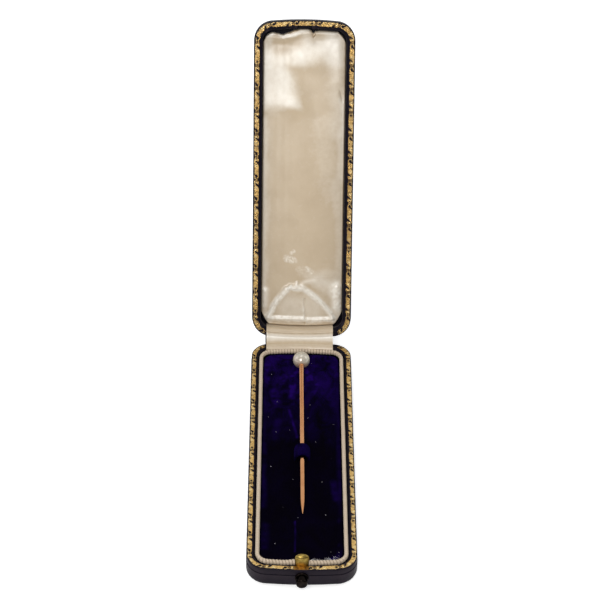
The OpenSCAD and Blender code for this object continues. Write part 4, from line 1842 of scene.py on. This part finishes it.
@dataclass
class PushButton(SubAssembly):
    """Bronze push button in a collar in the front wall."""

    collar_r: float = 1.9
    collar_out: float = 0.45
    collar_in: float = 1.3
    button_r: float = 1.575
    button_out: float = 2.6
    stem_r: float = 0.75
    z: float = 3.8

    def lay(self) -> Matrix:
        """Matrix that turns a piece drawn along +Z onto the button's axis."""
        place = Matrix.Translation((0, -self.plan.half_l, self.z))
        return place @ Matrix.Rotation(math.pi / 2, 4, "X")

    def make(self) -> None:
        """Makes the collar and the button."""
        r = self.collar_r
        hole = self.stem_r + 0.05
        collar = [(hole, -self.collar_in), (r, -self.collar_in), (r, self.collar_out - 0.16),
                  (r - 0.05, self.collar_out - 0.05), (r - 0.16, self.collar_out),
                  (r - 0.30, self.collar_out - 0.03), (r - 0.36, self.collar_out - 0.14),
                  (hole, self.collar_out - 0.16), (hole, -self.collar_in)]
        self.turned("collar", collar, "button_collar")
        r = self.button_r
        out = self.button_out
        back = self.collar_out + 0.05
        button = [(0, -1.7), (self.stem_r, -1.7), (self.stem_r, back), (r - 0.14, back), (r, back + 0.14),
                  (r, out - 0.42), (r - 0.05, out - 0.24), (r - 0.17, out - 0.10), (r - 0.36, out - 0.03),
                  (r - 0.55, out), (0.5, out - 0.02), (0, out - 0.02)]
        self.turned("button", button, "push_button")

    def turned(self, name: str, profile: Points, node: str) -> Object:
        """Turns one piece on the button's axis.

        Args:
            name: Name of the piece.
            profile: Points of (radius, distance out of the wall).
            node: CAD node that it replaces.

        Returns:
            The piece.
        """
        bm = spun(profile, 48)
        move(bm, self.lay())
        piece = make_object(name, bm, math.radians(30))
        return self.fit(piece, self.finishes.bronze, Slot.BRONZE, Body.CASE, [node])


@dataclass(frozen=True)
class Strip:
    """Sizes of a strip over the hinge: its middle and width across the case, thickness and columns."""

    middle: float
    width: float
    thick: float
    columns: int


@dataclass
class HingeCover(SubAssembly):
    """Satin ribbon over the hinge inside and leather strip over it outside."""

    ribbon: Strip = Strip(middle=-0.5, width=20.2, thick=0.06, columns=84)
    leather: Strip = Strip(middle=-0.7, width=20.4, thick=0.26, columns=30)
    # Painted highlight along the ribbon: share of its length, brightness
    gloss: Line = (
        (0.0, 0.1), (0.12, 0.12), (0.22, 0.22), (0.32, 0.0), (0.36, 0.05), (0.44, 0.55), (0.50, 0.98),
        (0.55, 0.90), (0.62, 0.25), (0.70, 0.0), (1.0, 0.0))

    def make(self) -> None:
        """Makes the ribbon and the strip."""
        self.make_ribbon()
        self.make_leather()

    def laid(self, strip: Strip, sections: Callable[[float], list[Vector]],
             lay: Callable[[float], float]) -> BMesh:
        """Lays a strip over the hinge.

        Args:
            strip: Its sizes.
            sections: Gives its line in the Y-Z plane at a place across the case.
            lay: How much painted highlight the cloth gets at a share of the strip's length.

        Returns:
            The strip, with millimetres across and along it as its UV map.
        """
        bm = bmesh.new()
        row = bm.verts.layers.int.new("row")
        layer = bm.verts.layers.float.new("lay")
        first = sections(strip.middle)
        left = strip.middle - strip.width / 2
        verts = [bm.verts.new((left, p.y, p.z)) for p in first]
        for i, vert in enumerate(verts):
            vert[row] = i
        edges = [bm.edges.new(pair) for pair in zip(verts, verts[1:])]
        for _ in range(strip.columns):
            edges = draw_out(bm, edges, (strip.width / strip.columns, 0, 0))
        reach = [0.0]
        for a, b in zip(first, first[1:]):
            reach.append(reach[-1] + (b - a).length)
        lines: dict[float, list[Vector]] = {}
        for vert in bm.verts:
            x = round(vert.co.x, 3)
            if x not in lines:
                lines[x] = sections(x)
            place = lines[x][vert[row]]
            vert.co = (vert.co.x, place.y, place.z)
            vert[layer] = lay(vert[row] / (len(first) - 1))
        lay_map(bm, "cloth", lambda vert: (vert.co.x, reach[vert[row]]))
        face_out(bm)
        bmesh.ops.solidify(bm, geom=bm.faces[:], thickness=strip.thick)
        return bm

    def spline(self, points: Points, cuts: int) -> list[Vector]:
        """Smooth line through points of (y, z).

        Args:
            points: Points that it passes.
            cuts: Pieces between one point and the next.

        Returns:
            Points on the line.
        """
        ends = [Vector((0, *p)) for p in (points[0], *points, points[-1])]
        line: list[Vector] = []
        for p0, p1, p2, p3 in zip(ends, ends[1:], ends[2:], ends[3:]):
            for i in range(cuts):
                t = i / cuts
                line.append(0.5 * (2 * p1 + (p2 - p0) * t + (2 * p0 - 5 * p1 + 4 * p2 - p3) * t * t
                                   + (3 * p1 - p0 - 3 * p2 + p3) * t**3))
        return line + [ends[-1]]

    def lid_yz(self, y: float, n: float) -> tuple[float, float]:
        """Y and Z on the open lid of a place given shut."""
        place = self.hinge.open_point(0, y, n)
        return place.y, place.z

    def ribbon_line(self, x: float) -> list[Vector]:
        """Line of the ribbon over the hinge.

        Args:
            x: Place across the case.

        Returns:
            Points on the line, from the base to the lid.
        """
        lid = self.lid_yz
        back = self.plan.fall(x, Inset(1.2, 1.2, 1.2))
        inner = self.plan.fall(x, Inset(2.3, 2.75, 2.75))
        slack = 0.05 * wander(x, 0, 3.0, 5.0)
        away = self.ribbon.width / 2 - abs(x - self.ribbon.middle)
        hem = 0.05 * math.exp(-(((away - 0.45) / 0.28) ** 2))
        crease = -0.04 * math.exp(-(((x - 8.9) / 0.22) ** 2))
        rise = hem + crease
        points = [(45.48 - inner, 4.4), (45.43 - inner, 5.66), (46.0 - inner, 6.48 + rise),
                  (46.9 - back, 6.50 + rise), (47.7 - back, 6.47 + rise + slack),
                  (48.25 - back * 0.9, 6.60 + rise + slack), (48.78 - back * 0.6, 6.98 + rise + slack),
                  lid(48.05 - back * 0.8, -0.16 - rise - slack), lid(47.5 - back, -0.20 - rise),
                  lid(46.95 - back, -0.15 - rise), lid(46.32 - back, -0.12 - rise),
                  lid(45.46 - back, 0.70 - rise), lid(45.32 - back, 1.5), lid(45.32 - back, 3.4),
                  lid(45.34 - back, 6.0)]
        return self.spline(points, 4)

    def make_ribbon(self) -> Object:
        """Makes the ribbon, from behind the piping over both rims into the lid."""
        bm = self.laid(self.ribbon, self.ribbon_line, lambda share: table_value(self.gloss, share))
        line = self.ribbon_line(self.ribbon.middle)
        length = sum((b - a).length for a, b in zip(line, line[1:]))
        piece = make_object("ribbon", bm, SOFT_ANGLE)
        self.fit(piece, self.finishes.ribbon, Slot.SATIN, None, ["ribbon_base", "ribbon_lid"])
        end = self.hinge.open_point(0, 47.98, 0)
        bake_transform(piece)
        log.info("ribbon: %.1f mm long", length)
        return piece

    def leather_line(self, x: float) -> list[Vector]:
        """Line of the outer strip over the hinge.

        Args:
            x: Place across the case.

        Returns:
            Points on the line, from the base to the lid.
        """
        lid = self.lid_yz
        back = self.plan.fall(x, Inset(0, 0, 0))
        points = [(48.20 - back, 2.8), (48.23 - back, 4.3), (48.36 - back, 5.1),
                  (48.72 - back * 0.9, 5.7), (49.28 - back * 0.6, 5.85),
                  lid(48.72 - back * 0.9, 1.0), lid(48.36 - back, 1.6), lid(48.23 - back, 2.4),
                  lid(48.20 - back, 3.9)]
        return self.spline(points, 3)

    def make_leather(self) -> Object:
        """Makes the leather strip outside, glued to both back walls and folded at the hinge."""
        bm = self.laid(self.leather, self.leather_line, lambda share: 0.0)
        piece = make_object("hinge_leather", bm, math.radians(60))
        self.fit(piece, self.finishes.leather, Slot.LEATHER, None, ["hinge_spine"])
        end = self.hinge.open_point(0, 48.1, 1.4)
        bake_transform(piece)
        return piece


@dataclass
class SatinLining(SubAssembly):
    """Padded satin in the lid, gathered at its front and folded to a gable at the hinge."""

    shape: PadShape = PadShape(Inset(2.72, 2.9, 2.85), top=-4.2, low=-6.95, roll=0.8, columns=110, rows=340)
    # How far the front edge is tucked in: place across the lid, distance
    front_tuck: Line = (
        (-12.3, 1.2), (-11.2, 0.8), (-9.4, 0.65), (-8.2, 1.0), (-6.5, 1.45), (-4.6, 0.9), (-2.8, 0.25),
        (-1.2, 0.0), (1.0, 0.0), (1.9, 0.35), (2.55, 1.25), (3.2, 0.55), (4.6, 0.3), (9.8, 0.3),
        (11.0, 0.9), (12.3, 1.4))
    # Welts of the gable's two slopes
    left_gable: Line = (
        (-10.3, 42.7), (-9.3, 40.9), (-8.5, 38.9), (-7.3, 37.1), (-5.9, 35.5), (-4.6, 34.0), (-3.4, 33.2))
    right_gable: Line = (
        (-2.2, 33.5), (0.2, 33.5), (2.4, 34.9), (4.2, 36.3), (6.0, 38.0), (7.7, 39.8), (8.9, 41.4),
        (9.5, 42.8))
    # Folds: line, height, width
    folds: tuple[Fold, ...] = (
        Fold(((-11.4, -42.8), (-6.5, -42.2), (-2.2, -43.6), (1.4, -44.0)), 0.20, 0.9),
        Fold(((3.2, -43.8), (9.0, -43.8)), 0.18, 0.9), Fold(((2.6, -45.2), (2.7, -43.2)), -0.8, 0.32),
        Fold(((-9.0, -40.4), (-4.0, -40.0)), -0.22, 1.9), Fold(((3.6, -41.6), (6.0, -41.6)), -0.12, 1.2),
        Fold(((-2.4, -35.6), (2.0, -36.0), (6.5, -37.0)), 0.13, 4.0),
        Fold(((-7.5, -34.0), (-4.6, -29.0), (-2.6, -23.5)), 0.11, 4.0),
        Fold(((-9.6, -22.8), (-3.6, -22.4)), 0.16, 3.0),
        Fold(((0.6, -31.5), (2.2, -26.0), (3.0, -20.0)), -0.12, 3.2),
        Fold(((10.2, -40.0), (10.6, -30.0)), 0.14, 1.6), Fold(((11.0, -26.5), (11.6, -24.0)), -0.20, 0.4),
        Fold(left_gable, 0.46, 0.62), Fold(right_gable, 0.48, 0.66),
        Fold(((-10.0, 42.9), (0.7, 43.2)), 0.26, 0.55), Fold(((1.6, 43.5), (9.5, 43.1)), 0.24, 0.55),
        Fold(((-5.5, 34.2), (-4.9, 33.3)), 0.22, 0.30), Fold(((-4.0, 33.7), (-3.5, 32.5)), 0.26, 0.30),
        Fold(((-2.6, 33.6), (-2.3, 32.4)), 0.20, 0.28), Fold(((-1.5, 33.3), (-1.4, 31.8)), 0.26, 0.32),
        Fold(((-0.1, 33.3), (0.5, 32.0), (2.2, 31.5), (3.8, 31.2)), 0.08, 0.60),
        Fold(((0.95, 36.8), (1.15, 40.0), (1.3, 44.8)), -0.34, 0.17),
        Fold(((0.45, 38.6), (0.75, 43.8)), 0.12, 0.30),
        Fold(((10.9, 33.5), (11.1, 39.5)), 0.26, 1.2), Fold(((-11.0, 34.6), (-11.2, 39.5)), 0.24, 0.9),
        Fold(((0.5, 27.0), (4.5, 29.6), (9.5, 29.0)), 0.08, 1.4))
    # Painted highlights: line, amount, reach, softness of its edge
    highlight_strokes: tuple[PaintedHighlight, ...] = (
        PaintedHighlight(((-10.2, -34.0), (-8.6, -24.8)), 0.62, 1.2, 5.2),
        PaintedHighlight(((-7.0, -31.0), (-4.6, -23.6)), 0.66, 0.1, 4.6),
        PaintedHighlight(((-4.6, -23.4), (-2.0, -21.6)), 0.55, 0.3, 2.0),
        PaintedHighlight(((-6.8, -35.4), (-1.6, -36.9)), 0.50, 0.3, 3.0),
        PaintedHighlight(((-1.2, -37.0), (3.0, -38.0), (8.6, -40.0)), 0.72, 0.0, 5.0),
        PaintedHighlight(((8.6, -43.4), (9.8, -36.0)), 0.55, 0.5, 3.4),
        PaintedHighlight(((-11.6, -41.5), (-11.6, -22.0)), 0.45, 0.3, 2.0),
        PaintedHighlight(((9.6, -35.0), (10.2, -14.0)), 0.28, 0.4, 3.8),
        PaintedHighlight(((11.5, -24.0), (11.6, -2.0)), 0.36, 0.3, 1.6),
        PaintedHighlight(((-11.3, -43.0), (-9.2, -43.5), (-6.5, -42.9), (-2.6, -44.1), (1.4, -44.4)), 0.85, 0.22, 0.8),
        PaintedHighlight(((0.2, -44.0), (0.8, -40.4)), 0.40, 0.5, 2.6), PaintedHighlight(((3.3, -44.2), (9.0, -44.3)), 0.6, 0.2, 1.2),
        PaintedHighlight(((-11.7, -18.0), (-11.8, 34.0)), 0.34, 0.2, 2.0),
        PaintedHighlight(((11.2, 0.0), (11.6, 32.0)), 0.22, 0.3, 2.2),
        PaintedHighlight(((5.5, -16.0), (8.0, 4.0)), 0.14, 0.6, 4.4),
        PaintedHighlight(left_gable, 0.95, 0.28, 1.0), PaintedHighlight(right_gable, 0.95, 0.32, 1.1),
        PaintedHighlight(((-10.0, 42.8), (0.6, 43.1)), 0.90, 0.45, 0.8),
        PaintedHighlight(((1.7, 43.4), (9.5, 43.0)), 0.90, 0.45, 0.8),
        PaintedHighlight(((-3.8, 33.2), (-3.5, 32.6)), 0.6, 0.1, 0.6), PaintedHighlight(((-1.5, 33.0), (-1.4, 31.9)), 0.6, 0.1, 0.6),
        PaintedHighlight(((-0.1, 33.0), (0.5, 32.0), (2.2, 31.5), (3.8, 31.2)), 0.32, 0.0, 1.6),
        PaintedHighlight(((-3.5, 39.5), (3.5, 39.8)), 0.40, 1.5, 5.0), PaintedHighlight(((5.6, 32.0), (9.5, 34.5)), 0.34, 0.6, 2.6),
        PaintedHighlight(((-11.0, 41.5), (-9.9, 43.5)), 0.35, 0.4, 1.6),
        PaintedHighlight(((10.4, 43.5), (11.0, 40.0)), 0.45, 0.4, 1.8),
        PaintedHighlight(((0.45, 39.0), (0.75, 43.8)), 0.55, 0.05, 0.4),
        PaintedHighlight(((10.7, 33.0), (10.9, 39.0)), 0.80, 0.4, 2.4),
        PaintedHighlight(((-11.2, 34.6), (-11.3, 39.0)), 0.60, 0.2, 1.9),
        PaintedHighlight(((3.0, 30.0), (9.0, 31.0), (10.5, 33.0)), 0.28, 0.3, 3.4))
    # Rub marks: lumps in the relief, with a painted highlight on them
    rubs: tuple[PaintedHighlight, ...] = (
        PaintedHighlight(((-3.4, 22.6), (-2.5, 22.0)), 0.75, 0.25, 0.5),
        PaintedHighlight(((-4.7, 24.3), (-2.6, 24.8)), 0.80, 0.5, 1.0),
        PaintedHighlight(((1.5, 27.4), (2.9, 28.5)), 0.80, 0.35, 0.8), PaintedHighlight(((-0.5, 28.0), (3.8, 29.8)), 0.35, 0.6, 1.6))
    rub_lumps: tuple[Lumps, Lumps] = (Lumps(0.05, 0.35, 1.0), Lumps(0.9, 0.5, 3.0))
    # Place along the lid from which the satin is gathered to the gable
    gable_from: float = 30.0
    crumple: Lumps = Lumps(0.055, 0.75, 9.0)
    slack: Lumps = Lumps(0.010, 1.4, 2.0)
    long_slack: Lumps = Lumps(0.05, 6.5, 7.0)
    crown: float = 0.22
    sunk: float = 0.25
    # How far the edges of the painted highlights stray, and over what distance, on the flat and on the
    # gable
    sway: tuple[float, float] = (1.5, 4.5)
    gable_sway: tuple[float, float] = (0.22, 1.3)
    # Unevenness of the painted highlight, with more of it on the welts
    uneven: Lumps = Lumps(0.14, 1.6, 19.0)
    welted: Lumps = Lumps(0.55, 0.8, 23.0)
    # How far the corners at the hinge are tucked in
    back_tuck: float = 2.0

    def relief(self, x: float, y: float) -> float:
        """Height of the satin over the pad's face, drawn face up.

        Args:
            x: Place across the lid.
            y: Place along the lid.

        Returns:
            The height.
        """
        height = sum(fold.relief(x, y) for fold in self.folds)
        height += brightest(self.rubs, x, y) * self.rub_lumps[0].at(x, y)
        crown = self.crown * (1 - (x / 12.3) ** 2) * smooth((44 - abs(y)) / 10)
        ripple = 0.012 * math.sin(x * 2.6 + 0.6 * wander(x, y, 5.0, 9.0)) * smooth((-2 - x) / 4)
        slack = self.long_slack.at(x, y * 0.7) + self.slack.at(x, y)
        crumple = smooth(height / 0.3) * self.crumple.at(x, y) if y > self.gable_from else 0.0
        return height + crown + slack + ripple + crumple - self.sunk

    def lay(self, x: float, y: float) -> float:
        """How much painted highlight the satin gets.

        Args:
            x: Place across the lid.
            y: Place along the lid.

        Returns:
            The share of painted highlight.
        """
        worn_and_highlit = brightest(self.rubs, x, y) * clamp(0.55 + self.rub_lumps[1].at(x, y))
        sway, size = self.sway if y < self.gable_from else self.gable_sway
        soft_x = x + sway * wander(x, y, 11.0, size)
        soft_y = y + sway * wander(x, y, 15.0, size)
        share = blended(self.highlight_strokes, soft_x, soft_y)
        welt = smooth((share - 0.45) / 0.3) if y > self.gable_from else 0.0
        uneven = 1 + self.uneven.at(x, y) + welt * self.welted.at(x, y)
        return max(worn_and_highlit, share * uneven)

    def tuck(self, x: float, side: int) -> float:
        """How far an edge is pulled in.

        Args:
            x: Place across the lid.
            side: The front (-1) or the back (1).

        Returns:
            The distance.
        """
        if side > 0:
            return self.back_tuck * smooth((abs(x) - 9.6) / 2.8)
        return table_value(self.front_tuck, x)

    def make(self) -> Object:
        """Makes the lining."""
        bm = self.shape.build(self.plan, self.relief, self.tuck, self.lay)
        turn_over(bm)
        move(bm, self.hinge.swing())
        piece = make_object("satin_lining", bm, SOFT_ANGLE)
        self.fit(piece, self.finishes.satin, Slot.SATIN, Body.LID, ["satin_pad"])
        return piece


@dataclass(frozen=True)
class Lamp:
    """Soft light: its name, place, the width of its round face, its power in watts and its colour."""

    name: str
    place: Spot
    size: float
    power: float
    colour: Colour


@dataclass(frozen=True)
class Studio:
    """Pale floor, soft lights and the camera at the photo's angle."""

    lens: float = 122.416
    sensor: float = 36.0
    azimuth: float = -0.6986
    elevation: float = 38.2853
    roll: float = 1.0008
    camera_at: Spot = (-6.459, -431.796, 401.746)
    lamps: tuple[Lamp, ...] = (
        Lamp("key", (-125, -590, 520), 300, 3.1, (1.0, 0.985, 0.96)),
        Lamp("left_fill", (-620, 60, 380), 420, 0.7, (0.95, 0.97, 1.0)),
        Lamp("right_fill", (620, 120, 420), 420, 0.7, (1.0, 0.98, 0.95)),
        Lamp("top", (0, 60, 760), 420, 0.7, (1.0, 1.0, 1.0)))
    lit: Spot = (0, 10, 20)
    floor: Colour = (0.90, 0.90, 0.90)
    floor_half: float = 2500
    sky: Colour = (0.95, 0.97, 1.0)
    # Strength of the sky in front of the case and behind it
    dim: float = 0.12
    bright: float = 0.80

    def build(self) -> None:
        """Sets everything up."""
        self.set_camera()
        self.set_floor()
        self.set_world()
        for lamp in self.lamps:
            self.hang(lamp)
        bpy.context.scene.view_settings.view_transform = "Standard"

    def axes(self) -> tuple[Vector, Vector, Vector]:
        """Directions of the camera, rolled.

        Returns:
            The directions right, up and backwards.
        """
        a = math.radians(self.azimuth)
        e = math.radians(self.elevation)
        r = math.radians(self.roll)
        back = Vector((math.sin(a) * math.cos(e), -math.cos(a) * math.cos(e), math.sin(e)))
        right = Vector((math.cos(a), math.sin(a), 0))
        up = back.cross(right)
        return (right * math.cos(r) + up * math.sin(r), up * math.cos(r) - right * math.sin(r), back)

    def set_camera(self) -> None:
        """Places the camera."""
        data = bpy.data.cameras.new("camera")
        data.lens = self.lens
        data.sensor_width = self.sensor
        data.clip_start = 0.01
        data.clip_end = 20
        camera = bpy.data.objects.new("camera", data)
        turn = Matrix(self.axes()).transposed().to_4x4()
        camera.matrix_world = Matrix.Translation(Vector(self.camera_at) * MM) @ turn
        bpy.context.scene.collection.objects.link(camera)
        bpy.context.scene.camera = camera

    def set_floor(self) -> None:
        """Lays the floor."""
        bm = bmesh.new()
        bmesh.ops.create_grid(bm, x_segments=2, y_segments=2, size=self.floor_half)
        floor = make_object("floor", bm)
        recipe = Recipe("floor")
        floor.data.materials.append(recipe.done(Base_Color=self.floor, Roughness=0.9,
                                                Specular_IOR_Level=0.1, Emission_Strength=0.5,
                                                Emission_Color=(1.0, 1.0, 1.0)))
        floor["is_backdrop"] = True

    def set_world(self) -> None:
        """Fills the surroundings with pale light, dimmer in front of the case than behind it."""
        world = bpy.data.worlds.new("studio")
        world.use_nodes = True
        tree = world.node_tree
        sky = tree.nodes["Background"]
        sky.inputs["Color"].default_value = (*self.sky, 1.0)
        coords = tree.nodes.new("ShaderNodeTexCoord")
        split = tree.nodes.new("ShaderNodeSeparateXYZ")
        fade = tree.nodes.new("ShaderNodeMapRange")
        for name, value in (("From Min", -0.9), ("From Max", 0.5), ("To Min", self.dim),
                            ("To Max", self.bright)):
            fade.inputs[name].default_value = value
        tree.links.new(coords.outputs["Generated"], split.inputs["Vector"])
        tree.links.new(split.outputs["Y"], fade.inputs["Value"])
        tree.links.new(fade.outputs["Result"], sky.inputs["Strength"])
        bpy.context.scene.world = world

    def hang(self, lamp: Lamp) -> None:
        """Hangs a lamp.

        Args:
            lamp: The lamp.
        """
        data = bpy.data.lights.new(lamp.name, "AREA")
        data.shape = "DISK"
        data.size = lamp.size * MM
        data.energy = lamp.power
        data.color = lamp.colour
        light = bpy.data.objects.new(lamp.name, data)
        place = Vector(lamp.place)
        light.location = place * MM
        light.rotation_euler = (Vector(self.lit) - place).to_track_quat("-Z", "Y").to_euler()
        bpy.context.scene.collection.objects.link(light)


def write_sizes() -> None:
    """Works out the CAD box and the visual model's box as plain lists."""
    boxes = {"cad": CAD_BOX, "visual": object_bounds()}
    plain = {name: [[float(v) for v in corner] for corner in box] for name, box in boxes.items()}


def main() -> None:
    """Builds every part in order."""
    logging.basicConfig(level=logging.INFO, format="%(name)s %(message)s")
    Studio().build()
    bench = (CasePlan(), Hinge.of_frame(), Finishes())
    LeatherCase(*bench).make()
    GiltBorder(*bench).make()
    bed = VelvetBed(*bench)
    bed.make()
    SilkFluff(*bench, bed=bed).make()
    SilkPiping(*bench).make()
    StickPin(*bench).make()
    LoopOfVelvet(*bench).make()
    catch = BrassCatch(*bench)
    catch.make()
    catch.dress_strike()
    PushButton(*bench).make()
    HingeCover(*bench).make()
    SatinLining(*bench).make()
    write_sizes()


if __name__ == "__main__":
    main()
